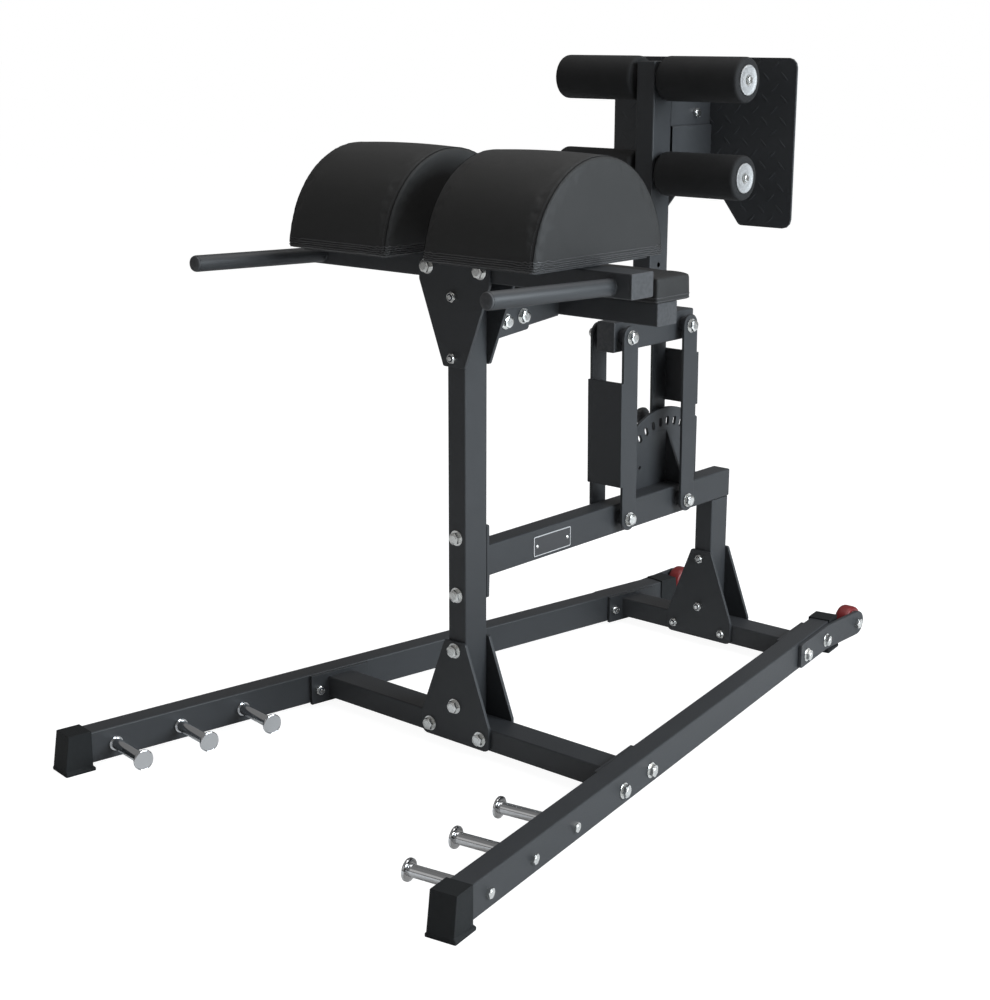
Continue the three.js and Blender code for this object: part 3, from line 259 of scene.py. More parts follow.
zinc = Finish("bright_zinc", metal=1.0)
spangle = zinc.cells(420.0, "F1")
brushed = zinc.grain(1400.0, 2.0)
zinc.drive("Base Color", zinc.between(spangle, (0.74, 0.74, 0.72), (0.93, 0.93, 0.91)))
zinc.drive("Roughness", 0.19 + brushed * 0.12)
zinc.relief(brushed, 0.00005)


nylon = Finish("nylon_ring", specular=0.4)
chalky = nylon.grain(800.0, 2.0)
nylon.drive("Base Color", nylon.between(chalky, (0.012, 0.016, 0.030), (0.020, 0.026, 0.045)))
nylon.drive("Roughness", 0.42 + chalky * 0.1)


def skin(points, ring=False):
    """Joins a grid of points [row, column] into faces. Each row is a closed ring of points. The
    last row meets the first in a ring, and otherwise each end has one flat face."""
    rows, columns = points.shape[:2]
    index = np.arange(rows * columns).reshape(rows, columns)
    lower = index if ring else index[:-1]
    upper = np.roll(index, -1, axis=0)[: len(lower)]
    corners = (lower, np.roll(lower, -1, 1), np.roll(upper, -1, 1), upper)
    faces = np.stack(corners, -1).reshape(-1, 4).tolist()
    if not ring:
        faces += [index[0][::-1].tolist(), index[-1].tolist()]
    flat = points.reshape(-1, 3)
    a, b, c, d = (flat[k.reshape(-1)] for k in corners)
    volume = (a * np.cross(b, c)).sum() + (a * np.cross(c, d)).sum()
    for row, sign in () if ring else ((0, -1.0), (-1, 1.0)):
        edge = points[row]
        volume += sign * (edge.mean(0) * np.cross(edge, np.roll(edge, -1, 0))).sum()
    return flat, [face[::-1] for face in faces] if volume < 0 else faces


def turned(profile, steps=64, ring=False):
    """Revolves pairs of radius and height round Z: x = r cos a, y = r sin a, z = h."""
    radius, height = np.array(profile, float).T[:, :, None]
    turn = np.linspace(0.0, 2.0 * np.pi, steps, endpoint=False)[None]
    across = radius * np.cos(turn), radius * np.sin(turn)
    return skin(np.stack((*across, height + 0.0 * turn), -1), ring)


def hexagonal(flat, bottom, top):
    """A six-sided bar along Z. Its radius is flat / cos(angle from the nearest flat's middle),
    and a cone of 30 degrees turns its upper corners off down to 0.96 of the flat."""
    turn = np.linspace(0.0, 2.0 * np.pi, 48, endpoint=False)
    radius = flat / np.cos((turn + np.pi / 6) % (np.pi / 3) - np.pi / 6)
    crown = np.full_like(radius, 0.96 * flat)
    shoulder = top - (radius - crown) * np.tan(np.pi / 6)
    rows = ((radius, bottom + 0.0 * radius), (radius, shoulder), (crown, top + 0.0 * radius))
    return skin(np.stack([np.stack((r * np.cos(turn), r * np.sin(turn), z), -1) for r, z in rows]))


def placed(shape, origin, direction, roll=0.0):
    """Stands shapes that were drawn along Z on a point, pointing in a direction."""
    turn = Vector(direction).to_track_quat("Z", "Y").to_matrix()
    spin = np.array(((np.cos(roll), -np.sin(roll), 0), (np.sin(roll), np.cos(roll), 0), (0, 0, 1)))
    whole = (np.array(turn) @ spin).T
    return [(points @ whole + np.array(origin), faces) for points, faces in shape]


def piece(name, body, coats, replaces=(), crease=35):
    """Makes one object out of skins, listed under the finish of each, and seats it on a body."""
    mesh = bpy.data.meshes.new(name)
    made = bpy.data.objects.new(name, mesh)
    skins = [(points, faces, k) for k, (_, group) in enumerate(coats) for points, faces in group]
    starts = np.cumsum([0] + [len(points) for points, _, _ in skins])
    faces = [[v + s for v in face] for (_, group, _), s in zip(skins, starts) for face in group]
    mesh.from_pydata(np.concatenate([points for points, _, _ in skins]), [], faces)
    counts = [len(group) for _, group, _ in skins]
    mesh.polygons.foreach_set("material_index", np.repeat([k for _, _, k in skins], counts))
    mesh.polygons.foreach_set("use_smooth", np.ones(len(faces), bool))
    mesh.set_sharp_from_angle(angle=np.radians(crease))
    for finish, _ in coats:
        mesh.materials.append(finish.material)
    scene.collection.objects.link(made)
    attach(made, body)
    if replaces:
        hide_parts(*replaces)
    return made


def washer(outer, inner, thick):
    """A flat washer with broken edges, lying on Z = 0."""
    soft = 0.2 * thick
    profile = [
        (inner, 0.0), (outer - soft, 0.0), (outer, soft), (outer, thick - soft),
        (outer - soft, thick), (inner + soft, thick), (inner, thick - soft),
    ]
    return turned(profile, 48, ring=True)


def bolt_head(flat=0.012, thick=0.0025, outer=0.017, roll=0.0):
    """A washer with a hexagon head on it, drawn along Z from the face that it bears on."""
    head = hexagonal(flat, thick, thick + 0.8 * flat)
    mark = turned([(0.7 * flat, thick + 0.8 * flat), (0.66 * flat, thick + 0.84 * flat)], 32)
    return [washer(outer, 0.5 * flat, thick), head, mark] if outer else [head, mark]


def lock_nut(flat=0.0098, thick=0.0, outer=0.0):
    """A nut with a round collar for its nylon ring, with the bolt's end in it. It may stand on
    a washer."""
    top = thick + 0.9 * flat
    collar = [
        (0.76 * flat, top - 0.001), (0.93 * flat, top - 0.001), (0.93 * flat, top + 0.26 * flat),
        (0.88 * flat, top + 0.34 * flat), (0.80 * flat, top + 0.36 * flat),
        (0.76 * flat, top + 0.32 * flat),
    ]
    thread = [(0.50 * flat, 0.0), (0.50 * flat, top + 0.5 * flat), (0.42 * flat, top + 0.6 * flat)]
    shapes = [hexagonal(flat, thick, top), turned(collar, 48, ring=True), turned(thread, 32)]
    return shapes + [washer(outer, 0.5 * flat, thick)] if outer else shapes


def add_nut(metal, rings, origin, direction, roll, flat=0.0098, thick=0.0, outer=0.0):
    """Adds a lock nut to a list of metal shapes, and its nylon ring to a list of rings."""
    low, high = thick + 0.8 * flat, thick + 1.14 * flat
    ring = [(0.49 * flat, low), (0.49 * flat, high), (0.77 * flat, high), (0.77 * flat, low)]
    metal += placed(lock_nut(flat, thick, outer), origin, direction, roll)
    rings += placed([turned(ring, 32, ring=True)], origin, direction)


peg_profile = [
    (0.0160, 0.0), (0.0160, 0.0036), (0.0156, 0.0040), (0.0126, 0.0040), (0.0125, 0.0044),
    (0.0125, 0.1172), (0.0130, 0.1177), (0.0210, 0.1177), (0.0220, 0.1182), (0.0225, 0.1193),
    (0.0225, 0.1230), (0.0220, 0.1241), (0.0210, 0.1246), (0.0204, 0.1243), (0.0192, 0.1240),
]
peg_height = 0.0465
for word, side in (("right", 1), ("left", -1)):
    heads = []
    for number, station in enumerate((-0.542, -0.383, -0.223), 1):
        foot = on_rail(-half_tube, station, peg_height, side)
        shaft = placed([turned(peg_profile, 96)], foot, -off_rail(side))
        node = f"storage_peg_{word}_{number}"
        piece(f"chromed_peg_{word}_{number}", "frame", [(chrome, shaft)], [node])
        end = on_rail(half_tube, station, peg_height, side)
        heads += placed(bolt_head(0.0095, 0.0, 0.0), end, off_rail(side), 0.3 * number)
    piece(f"peg_bolts_{word}", "frame", [(zinc, heads)])


# Crossmembers: the same tube with a plate welded across each end, bolted through the rails:
# heads and washers on the outer face, lock nuts on the plates inside.
dressed(["front_crossmember", "rear_crossmember"], powder, 0.0008)
bolt_height = 0.0460
bracket_face, flange_face = 0.0343, -0.0332  # out from the rail's middle
rear_skew = 0.0185  # how far a rear bolt's inner end lies ahead of its head
for word, side in (("right", 1), ("left", -1)):
    rail_bolts, rings = [], []
    for station in (-0.0213, 0.1007, 0.9430, 1.0715):
        at_front = station < 0.5
        out = half_tube if at_front else bracket_face
        seat = on_rail(out, station, bolt_height, side)
        rail_bolts += placed(bolt_head(roll=station), seat, off_rail(side), 20 * station)
        inner = station if at_front else station - rear_skew
        end = on_rail(flange_face, inner, bolt_height, side)
        add_nut(rail_bolts, rings, end, -off_rail(side), station)
    coats = [(zinc, rail_bolts), (nylon, rings)]
    piece(f"rail_bolts_{word}", "frame", coats)


# Towers: two uprights of the same tube. A cut steel plate in front and one behind clamp each
# foot to its crossmember, and another pair clamps the pad crossbar to the front one.
both = ("front", "rear")
gussets = [f"{tower}_tower_gusset_{face}" for tower in both for face in both]
gussets += ["pad_gusset_front", "pad_gusset_rear"]
dressed(["front_upright", "rear_upright"], powder, 0.0008)
dressed(gussets, powder, 0.0010)
forward = np.array((0.0, -1.0, 0.0))
front_clamp = tower_face - 0.008, tower_face + 0.078  # outer faces of a pair of plates
rear_clamp = tower_face + 0.928, tower_face + 1.014
base_bolts = ((-0.073, 0.047), (0.073, 0.047), (0.0, 0.105), (0.0, 0.233))
top_bolts = ((-0.073, 1.061), (0.073, 1.061), (0.0, 1.003), (0.0, 0.875))
tower_bolts, rings = [], []
for x, z in base_bolts:
    tower_bolts += placed(bolt_head(), (x, front_clamp[0], z), forward, 9 * x + 5 * z)
    add_nut(tower_bolts, rings, (x, front_clamp[1], z), -forward, 7 * x + 3 * z)
for x, z in top_bolts:
    front, rear = ((x, y, z) for y in front_clamp)
    if x == 0.0:
        add_nut(tower_bolts, rings, front, forward, 0.4 + 5 * z)
        tower_bolts += placed(bolt_head(0.0100, 0.002, 0.0130), rear, -forward, 3 * z)
    else:
        tower_bolts += placed(bolt_head(), front, forward, 0.4 + 5 * z)
        add_nut(tower_bolts, rings, rear, -forward, 3 * z)
coats = [(zinc, tower_bolts), (nylon, rings)]
piece("front_tower_bolts", "frame", coats)
rear_bolts, rings = [], []
for x, z in base_bolts:
    add_nut(rear_bolts, rings, (x, rear_clamp[0], z), forward, 8 * x + 4 * z)
    rear_bolts += placed(bolt_head(), (x, rear_clamp[1], z), -forward, 6 * x + 2 * z)
piece("rear_tower_bolts", "frame", [(zinc, rear_bolts), (nylon, rings)])


# Middle beam: it ties the towers together and carries the links' lower pivots in two welded
# sleeves. A plate on its front end is bolted to the front upright.
dressed(["mid_beam"], powder, 0.0008)
beam_bolts, rings = [], []
for z in (0.357, 0.485):
    beam_bolts += placed(bolt_head(), (0.0, tower_face, z), forward, 6 * z)
    add_nut(beam_bolts, rings, (0.0, tower_face + 0.077, z), -forward, 4 * z)
piece("middle_beam_bolts", "frame", [(zinc, beam_bolts), (nylon, rings)])


def rounded_slab(width, height, corner, layers):
    """A slab with rounded corners. Each layer is its height on Z and how far its outline is
    drawn in; the outline is a rectangle whose corners follow a circle of the given radius."""
    turn = np.linspace(0.0, 2.0 * np.pi, 40, endpoint=False) + np.pi / 40
    sign = np.sign(np.cos(turn)), np.sign(np.sin(turn))
    rows = []
    for z, drawn in layers:
        radius = max(corner - drawn, 0.0002)
        x = sign[0] * (width / 2 - drawn - radius) + radius * np.cos(turn)
        y = sign[1] * (height / 2 - drawn - radius) + radius * np.sin(turn)
        rows.append(np.stack((x, y, z + 0.0 * turn), -1))
    return skin(np.stack(rows))


# Data plate on the middle beam: blank, pressed from thin sheet, with a bright border and a
# rivet at each end.
enamel = Finish("plate_enamel")
scuff = enamel.grain(160.0, 3.0, (1.0, 0.2, 1.0))
enamel.drive("Base Color", enamel.between(scuff, (0.028, 0.028, 0.031), (0.045, 0.045, 0.048)))
enamel.drive("Roughness", 0.34 + scuff * 0.12)
silver = Finish("plate_border", metal=1.0)
silver_wear = silver.grain(700.0, 2.0)
silver.drive("Base Color", silver.between(silver_wear, (0.72, 0.72, 0.73), (0.88, 0.88, 0.89)))
silver.drive("Roughness", 0.35 + silver_wear * 0.1)
plate_middle = (half_tube, tower_face + 0.2935, 0.4190)
plate_size = 0.131, 0.046, 0.004  # width, height and corner radius
rivet_out = 0.0535
sheet_layers = [(0.0, 0.0), (0.0011, 0.0), (0.0013, 0.0002)]
face_layers = [(0.0012, 0.0021), (0.0015, 0.0022)]
plate = placed([rounded_slab(*plate_size, sheet_layers)], plate_middle, (1, 0, 0))
face = placed([rounded_slab(*plate_size, face_layers)], plate_middle, (1, 0, 0))
rivets = []
for y in (-rivet_out, rivet_out):
    dome = [(0.0042, 0.0012), (0.0040, 0.0021), (0.0031, 0.0028), (0.0015, 0.0032)]
    spot = (half_tube, plate_middle[1] + y, plate_middle[2])
    rivets += placed([turned(dome, 32)], spot, (1, 0, 0))
piece(
    "blank_data_plate", "frame",
    [(silver, plate), (enamel, face), (zinc, rivets)], ["name_plate"],
)


# Transport wheels: a bent bracket bolted to the end of each rail carries a small wheel with a
# dark red polyurethane tyre on a pale hub, on a bolt with a nut inside.
dressed(["wheel_bracket_right", "wheel_bracket_left"], powder, 0.0010)
tyre = Finish("red_polyurethane")
bloom = tyre.grain(60.0, 3.0)
tyre.drive("Base Color", tyre.between(bloom, (0.135, 0.010, 0.012), (0.22, 0.018, 0.018)))
tyre.drive("Roughness", 0.32 + bloom * 0.15)
tyre.relief(tyre.grain(900.0, 2.0), 0.0001)
hub = Finish("pale_hub", metal=0.6)
hub_grain = hub.grain(500.0, 2.0)
hub.drive("Base Color", hub.between(hub_grain, (0.42, 0.41, 0.39), (0.56, 0.55, 0.52)))
hub.drive("Roughness", 0.38 + hub_grain * 0.12)
tread_profile = [
    (0.0290, 0.0010), (0.0300, 0.0), (0.0345, 0.0), (0.0375, 0.0016), (0.0393, 0.0050),
    (0.0400, 0.0100), (0.0400, 0.0260), (0.0393, 0.0310), (0.0375, 0.0344), (0.0345, 0.0360),
    (0.0300, 0.0360), (0.0290, 0.0350),
]
hub_profile = [
    (0.0083, 0.0), (0.0165, 0.0), (0.0170, 0.0005), (0.0172, 0.0040), (0.0285, 0.0046),
    (0.0290, 0.0040), (0.0290, 0.0320), (0.0285, 0.0314), (0.0172, 0.0320), (0.0170, 0.0355),
    (0.0165, 0.0360), (0.0083, 0.0360),
]
for word, side in (("right", 1), ("left", -1)):
    inner_face, axle = 0.2460, (tower_face + 1.2240, 0.0500)
    rim = placed([turned(tread_profile, 96, True)], (side * inner_face, *axle), (side, 0, 0))
    core = placed([turned(hub_profile, 64, True)], (side * inner_face, *axle), (side, 0, 0))
    wheel = f"wheel_{word}"
    piece(f"red_{wheel}", wheel, [(tyre, rim), (hub, core)], [wheel])
    shank = [turned([(0.0080, 0.2360), (0.0080, 0.2950)], 32), washer(0.0120, 0.0080, 0.0036)]
    shank[1] = (shank[1][0] + np.array((0.0, 0.0, 0.2822)), shank[1][1])
    bolt = placed(shank, (0.0, *axle), (side, 0, 0))
    bolt += placed(bolt_head(0.0115, 0.0, 0.0), (side * 0.2953, *axle), (side, 0, 0), 0.5)
    rings = []
    add_nut(bolt, rings, (side * 0.2457, *axle), (-side, 0, 0), 0.2)
    coats = [(zinc, bolt), (nylon, rings)]
    piece(f"wheel_bolt_{word}", "frame", coats, [f"wheel_axle_{word}"])


# Pad crossbar: a length of tube across the top of the front tower, closed by moulded plugs.
dressed(["pad_crossbar"], powder, 0.0008)
plastic = Finish("moulded_plastic", specular=0.45)
matt = plastic.grain(1100.0, 2.0)
mottle = plastic.ramp(plastic.grain(130.0, 4.0), 0.30, 0.70)
plastic.drive("Base Color", plastic.between(mottle, (0.042, 0.043, 0.046), (0.060, 0.061, 0.064)))
plastic.drive("Roughness", 0.46 + matt * 0.14)
plastic.relief(matt, 0.00012)
dressed(["crossbar_cap_right", "crossbar_cap_left"], plastic, 0.0012)


# Grab handles: round tube welded to the front of the crossbar, tipped up a little, powder
# coated with it and closed by domed plugs.
tilt = np.radians(1.9)
handle_out, handle_height = 0.396, 1.0580
handle_way = np.array((0.0, -np.cos(tilt), np.sin(tilt)))
handle_profile = [
    (0.0170, 0.0), (0.0170, 0.3537), (0.0166, 0.3548), (0.0160, 0.3550),
]
plug_profile = [
    (0.0150, 0.3540), (0.0163, 0.3553), (0.0164, 0.3566), (0.0152, 0.3590), (0.0122, 0.3606),
    (0.0080, 0.3616), (0.0035, 0.3620),
]
bead_profile = [
    (0.0170, 0.0), (0.0184, 0.0002), (0.0182, 0.0008), (0.0177, 0.0014), (0.0170, 0.0017),
]
for word, side in (("right", 1), ("left", -1)):
    root = (side * handle_out, tower_face - 0.0004, handle_height)
    bar = placed([turned(handle_profile, 96), turned(bead_profile, 64, True)], root, handle_way)
    plug = placed([turned(plug_profile, 96)], root, handle_way)
    coats = [(powder, bar), (plastic, plug)]
    piece(f"grab_handle_{word}", "frame", coats, [f"handle_{word}"])


# Thigh pads: half-round blocks of foam under matt black vinyl, drawn over a board that is
# screwed to the crossbar. The end panels are sewn to the wrapped one, and the vinyl gathers in
# fine pleats where it is pulled under the board.
vinyl = Finish("black_vinyl", specular=0.42)
hide = vinyl.cells(560.0)
fine = vinyl.grain(1900.0, 2.0)
shade = vinyl.grain(6.0, 2.0)
vinyl.drive("Base Color", vinyl.between(shade, (0.0140, 0.0138, 0.0136), (0.0200, 0.0197, 0.0194)))
vinyl.drive("Roughness", 0.50 + fine * 0.12)
vinyl.relief(vinyl.ramp(hide, 0.0, 0.18) * 0.7 + fine * 0.3, 0.00022)
thread = Finish("sewing_thread", specular=0.3)
twist = thread.grain(3000.0, 1.0)
thread.drive("Base Color", thread.between(twist, (0.045, 0.045, 0.047), (0.080, 0.080, 0.083)))
thread.drive("Roughness", 0.6 + twist * 0.2)


# Seam cords: a near-black colour that is painted shade, standing in for the shadow in the sewn
# groove along each pad's arc edge. Its noise varies that painted shade and the roughness.
seam_painted_shade = Finish("vinyl_seam_painted_shade", specular=0.2)
seam_shade_noise = seam_painted_shade.grain(900.0, 2.0)
seam_painted_shade.drive("Base Color", seam_painted_shade.between(seam_shade_noise, (0.004,) * 3, (0.008,) * 3))
seam_painted_shade.drive("Roughness", 0.7 + seam_shade_noise * 0.2)
# Fold cords: the same vinyl made glossier, with a lighter colour that is a painted highlight
# standing in for light caught on the pleat and fold ridges. Its noise varies that painted
# highlight and the roughness.
fold_painted_highlight = Finish("vinyl_fold_painted_highlight", specular=0.6)
fold_highlight_noise = fold_painted_highlight.grain(70.0, 3.0)
fold_painted_highlight.drive("Base Color", fold_painted_highlight.between(fold_highlight_noise, (0.020, 0.020, 0.021), (0.060, 0.060, 0.062)))
fold_painted_highlight.drive("Roughness", 0.28 + fold_highlight_noise * 0.2)


def foam_block(outline, low, high, edge, crown, base):
    """A cushion along X. Each row is the outline [y, z] scaled about its base by
    1 - (edge - sqrt(edge^2 - d^2)) / reach, d the depth into a rounded end, plus a crown that
    falls off as 1 - u^2 along the length."""
    turn = np.linspace(0.0, np.pi / 2, 7)
    ends = edge * (1.0 - np.cos(turn)), edge * (1.0 - np.sin(turn))
    run = np.linspace(low + edge, high - edge, 14)[1:-1]
    x = np.concatenate((low + ends[0], run, (high - ends[0])[::-1]))
    drawn = np.concatenate((ends[1], 0.0 * run, ends[1][::-1]))
    share = (2.0 * x - low - high) / (high - low)
    reach = np.abs(outline[:, 0] - base[0]).max()
    scale = (reach - drawn + crown * (1.0 - share**2)) / reach
    rows = np.array(base) + (outline - np.array(base)) * scale[:, None, None]
    stations = np.broadcast_to(x[:, None, None], rows.shape[:2] + (1,))
    return skin(np.concatenate((stations, rows), -1))


def stuffed(name, shape, voxel, most, held):
    """Fills a closed skin like a cover over foam. The skin is remeshed evenly, blown up as
    cloth for 20 frames with the part under the height held fixed, and no point keeps more than
    the given movement. Returns the object, still without a body."""
    mesh = bpy.data.meshes.new(name)
    mesh.from_pydata(shape[0], [], shape[1])
    cover = bpy.data.objects.new(name, mesh)
    scene.collection.objects.link(cover)
    even = cover.modifiers.new("even", "REMESH")
    even.mode, even.voxel_size = "VOXEL", voxel
    remeshed = cover.evaluated_get(bpy.context.evaluated_depsgraph_get())
    fresh = bpy.data.meshes.new_from_object(remeshed)
    cover.modifiers.clear()
    cover.data = fresh
    count = len(fresh.vertices)
    rest = np.empty(count * 3, np.float32)
    fresh.vertices.foreach_get("co", rest)
    rest = rest.reshape(-1, 3)
    settled = rest
    fixed = cover.vertex_groups.new(name="fixed")
    fixed.add(np.flatnonzero(rest[:, 2] < held).tolist(), 1.0, "REPLACE")
    cloth = cover.modifiers.new("cloth", "CLOTH")
    cloth.settings.quality = 5
    cloth.settings.mass = 0.3
    cloth.settings.tension_stiffness = 30
    cloth.settings.compression_stiffness = 30
    cloth.settings.bending_stiffness = 12
    cloth.settings.use_pressure = True
    cloth.settings.uniform_pressure_force = 4
    cloth.settings.vertex_group_mass = "fixed"
    cloth.settings.effector_weights.gravity = 0.0
    cloth.collision_settings.use_collision = False
    cloth.point_cache.frame_start, cloth.point_cache.frame_end = 1, 20
    for moment in range(1, 21):
        scene.frame_set(moment)
    posed = cover.evaluated_get(bpy.context.evaluated_depsgraph_get())
    swollen = np.empty(count * 3, np.float32)
    posed.data.vertices.foreach_get("co", swollen)
    moved = swollen.reshape(-1, 3) - rest
    length = np.linalg.norm(moved, axis=1, keepdims=True)
    settled = rest + moved * (most * np.tanh(length / most) / np.maximum(length, 1e-9))
    cover.modifiers.remove(cloth)
    scene.frame_set(1)
    fresh.vertices.foreach_set("co", settled.astype(np.float32).ravel())
    fresh.polygons.foreach_set("use_smooth", np.ones(len(fresh.polygons), bool))
    fresh.materials.append(vinyl.material)
    finer = cover.modifiers.new("finer", "SUBSURF")
    finer.levels = finer.render_levels = 1
    return cover


def on_surface(path, target):
    """The points of a target's surface that lie nearest to those of a path."""
    mesh = bpy.data.meshes.new("chalk_line")
    mesh.from_pydata(path, [(k, k + 1) for k in range(len(path) - 1)], [])
    line = bpy.data.objects.new("chalk_line", mesh)
    scene.collection.objects.link(line)
    wrap = line.modifiers.new("wrap", "SHRINKWRAP")
    wrap.target, wrap.wrap_method = target, "NEAREST_SURFACEPOINT"
    drawn = line.evaluated_get(bpy.context.evaluated_depsgraph_get()).data
    found = np.empty(len(path) * 3, np.float32)
    drawn.vertices.foreach_get("co", found)
    bpy.data.objects.remove(line)
    bpy.data.meshes.remove(mesh)
    return found.reshape(-1, 3).astype(float)


def unit(vectors):
    """Each vector divided by its own length."""
    return vectors / np.maximum(np.linalg.norm(vectors, axis=-1, keepdims=True), 1e-9)


def frames_along(path, closed):
    """Along, across and up at each point of a path; up leans away from the path's middle."""
    ahead = np.roll(path, -1, 0) - np.roll(path, 1, 0)
    if not closed:
        ahead[0], ahead[-1] = path[1] - path[0], path[-1] - path[-2]
    ahead = unit(ahead)
    across = unit(np.cross(ahead, path - path.mean(0)))
    return ahead, across, np.cross(across, ahead)


def cord_skin(path, radius, closed):
    """A round cord along a path: at each point a ring of radius r, cos a across + sin a up."""
    _, across, up = frames_along(path, closed)
    turn = np.linspace(0.0, 2.0 * np.pi, 8, endpoint=False)[None, :, None]
    ring = np.cos(turn) * across[:, None] + np.sin(turn) * up[:, None]
    return skin(path[:, None] + radius * ring, ring=closed)


def stitched(path, length, radius):
    """A row of stitches: at each point of a path a short bead, length long, a few faces each."""
    ahead, across, up = frames_along(path, False)
    turn = np.linspace(0.0, 2.0 * np.pi, 6, endpoint=False)
    along = np.array((-0.5, -0.3, 0.3, 0.5))[:, None, None] * length
    wide = np.array((0.35, 1.0, 1.0, 0.35))[:, None] * radius
    y, z = (wide * np.cos(turn))[..., None], (wide * np.sin(turn))[..., None]
    beads = []
    for p, a, c, u in zip(path, ahead, across, up):
        beads.append(skin(p + along * a + y * c + z * u))
    return beads


pad_low, pad_high, pad_base = 0.048, 0.337, 1.092
pad_middle = tower_face + 0.051
arch = np.linspace(0.0, np.pi, 65)
half_round = np.stack((pad_middle - 0.2060 * np.cos(arch), pad_base + 0.2105 * np.sin(arch)), -1)


def pad_edge(x, reach, count):
    """A line over the pad at one x: y = reach cos t, z = 1.022 reach sin t from the base up."""
    t = np.linspace(0.06, np.pi - 0.06, count)
    y, z = pad_middle - reach * np.cos(t), pad_base + 1.022 * reach * np.sin(t)
    return np.stack((x + 0.0 * t, y, z), -1)


def pad_girdle(low, high, height, wave):
    """A closed line round the pad at one height, a rounded rectangle, rising and falling by
    the wave: z = height + wave (sin 19t + 0.6 sin 31t)."""
    t = np.linspace(0.0, 2.0 * np.pi, 320, endpoint=False)
    power = 0.16
    x = np.sign(np.cos(t)) * np.abs(np.cos(t)) ** power * (high - low) / 2 + (low + high) / 2
    y = np.sign(np.sin(t)) * np.abs(np.sin(t)) ** power * 0.2125 + pad_middle
    z = height + wave * (np.sin(19 * t) + 0.6 * np.sin(31 * t + height * 900))
    return np.stack((x, y, z), -1)


for word, side in (("right", 1), ("left", -1)):
    low, high = sorted((side * (pad_low + 0.0020), side * (pad_high - 0.0020)))
    block = foam_block(half_round, low, high, 0.004, 0.004, (pad_middle, pad_base))
    pad = stuffed(f"vinyl_thigh_pad_{word}", block, 0.0050, 0.0022, pad_base + 0.006)
    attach(pad, "frame")
    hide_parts(f"thigh_pad_{word}")
    seams, folds, stitches = [], [], []
    for x, inward in ((low, 1), (high, -1)):
        edge = on_surface(pad_edge(x + inward * 0.0022, 0.2065, 140), pad)
        seams.append(cord_skin(edge, 0.0011, False))
        row = on_surface(pad_edge(x + inward * 0.0080, 0.2145, 132), pad)
        stitches += stitched(row, 0.0030, 0.0006)
    for number, height in enumerate((0.0020, 0.0066, 0.0112, 0.0158, 0.0204)):
        wave = 0.0005 + 0.0001 * number
        girdle = on_surface(pad_girdle(low - 0.004, high + 0.004, pad_base + height, wave), pad)
        folds.append(cord_skin(girdle, 0.0012, True))
    # The seam cords carry the painted groove shade.
    coats = [(seam_painted_shade, seams), (fold_painted_highlight, folds), (thread, stitches)]
    piece(f"thigh_pad_seams_{word}", "frame", coats)
    board = rounded_slab(high - low - 0.040, 0.372, 0.012, [(-0.005, 0.0), (0.002, 0.0)])
    board = placed([board], ((low + high) / 2, pad_middle, pad_base), (0, 0, 1))
    piece(f"thigh_pad_board_{word}", "frame", [(plastic, board)])


# Knee pad: a long flat cushion, vinyl over foam, screwed down on a T of square tube that plugs
# into two plates behind the front tower. Two folds run all round its cover, near the base.
dressed(["knee_pad_frame"], powder, 0.0008)
knee_low, knee_high = np.array(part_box("knee_pad"))
knee_middle = (knee_low + knee_high) / 2
corner = np.linspace(0.0, np.pi / 2, 8)
knee_half, knee_top = (knee_high[1] - knee_low[1]) / 2 - 0.0045, knee_high[2] - 0.0045
round_y = knee_half - 0.006 + 0.006 * np.cos(corner)
round_z = knee_top - 0.006 + 0.006 * np.sin(corner)
profile = np.concatenate((
    np.stack((round_y, round_z), -1),
    np.stack((-round_y, round_z), -1)[::-1],
    ((-knee_half, knee_low[2] + 0.0005), (knee_half, knee_low[2] + 0.0005)),
))
profile[:, 0] += knee_middle[1]
knee_swell = 0.0025  # room left at each end for the cover to swell
knee_block = foam_block(
    profile, knee_low[0] + knee_swell, knee_high[0] - knee_swell,
    0.005, 0.002, (knee_middle[1], knee_low[2]),
)
knee = stuffed("vinyl_knee_pad", knee_block, 0.0045, 0.0032, knee_low[2] + 0.004)
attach(knee, "frame")
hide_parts("knee_pad")
t = np.linspace(0.0, 2.0 * np.pi, 360, endpoint=False)
ring_x = np.sign(np.cos(t)) * np.abs(np.cos(t)) ** 0.12 * 0.309
ring_y = np.sign(np.sin(t)) * np.abs(np.sin(t)) ** 0.12 * 0.070 + knee_middle[1]
knee_seams = []
for height in (0.0025, 0.0125):
    ring_path = np.stack((ring_x, ring_y, knee_low[2] + height + 0.0 * t), -1)
    knee_seams.append(cord_skin(on_surface(ring_path, knee), 0.0011, True))
# The knee pad's fold cords carry the painted ridge highlight.
piece("knee_pad_seams", "frame", [(fold_painted_highlight, knee_seams)])
plug_layers = [(-0.0120, 0.0036), (0.0, 0.0036), (0.0001, 0.0), (0.0026, 0.0), (0.0034, 0.0008)]
plugs = []
for side in (1, -1):
    stop = (side * 0.2874, tower_face + 0.341, 0.9579)
    plugs += placed([rounded_slab(0.0700, 0.0500, 0.0035, plug_layers)], stop, (side, 0, 0))
piece("knee_frame_plugs", "frame", [(plastic, plugs)])
clevis_bolts, rings = [], []
for y, z in ((0.122, 0.9400), (0.178, 0.9451)):
    clevis_bolts += placed(bolt_head(0.0120), (0.0310, tower_face + y, z), (1, 0, 0), 9 * y)
    add_nut(clevis_bolts, rings, (-0.0310, tower_face + y, z), (-1, 0, 0), 7 * y)
piece("knee_frame_bolts", "frame", [(zinc, clevis_bolts), (nylon, rings)])


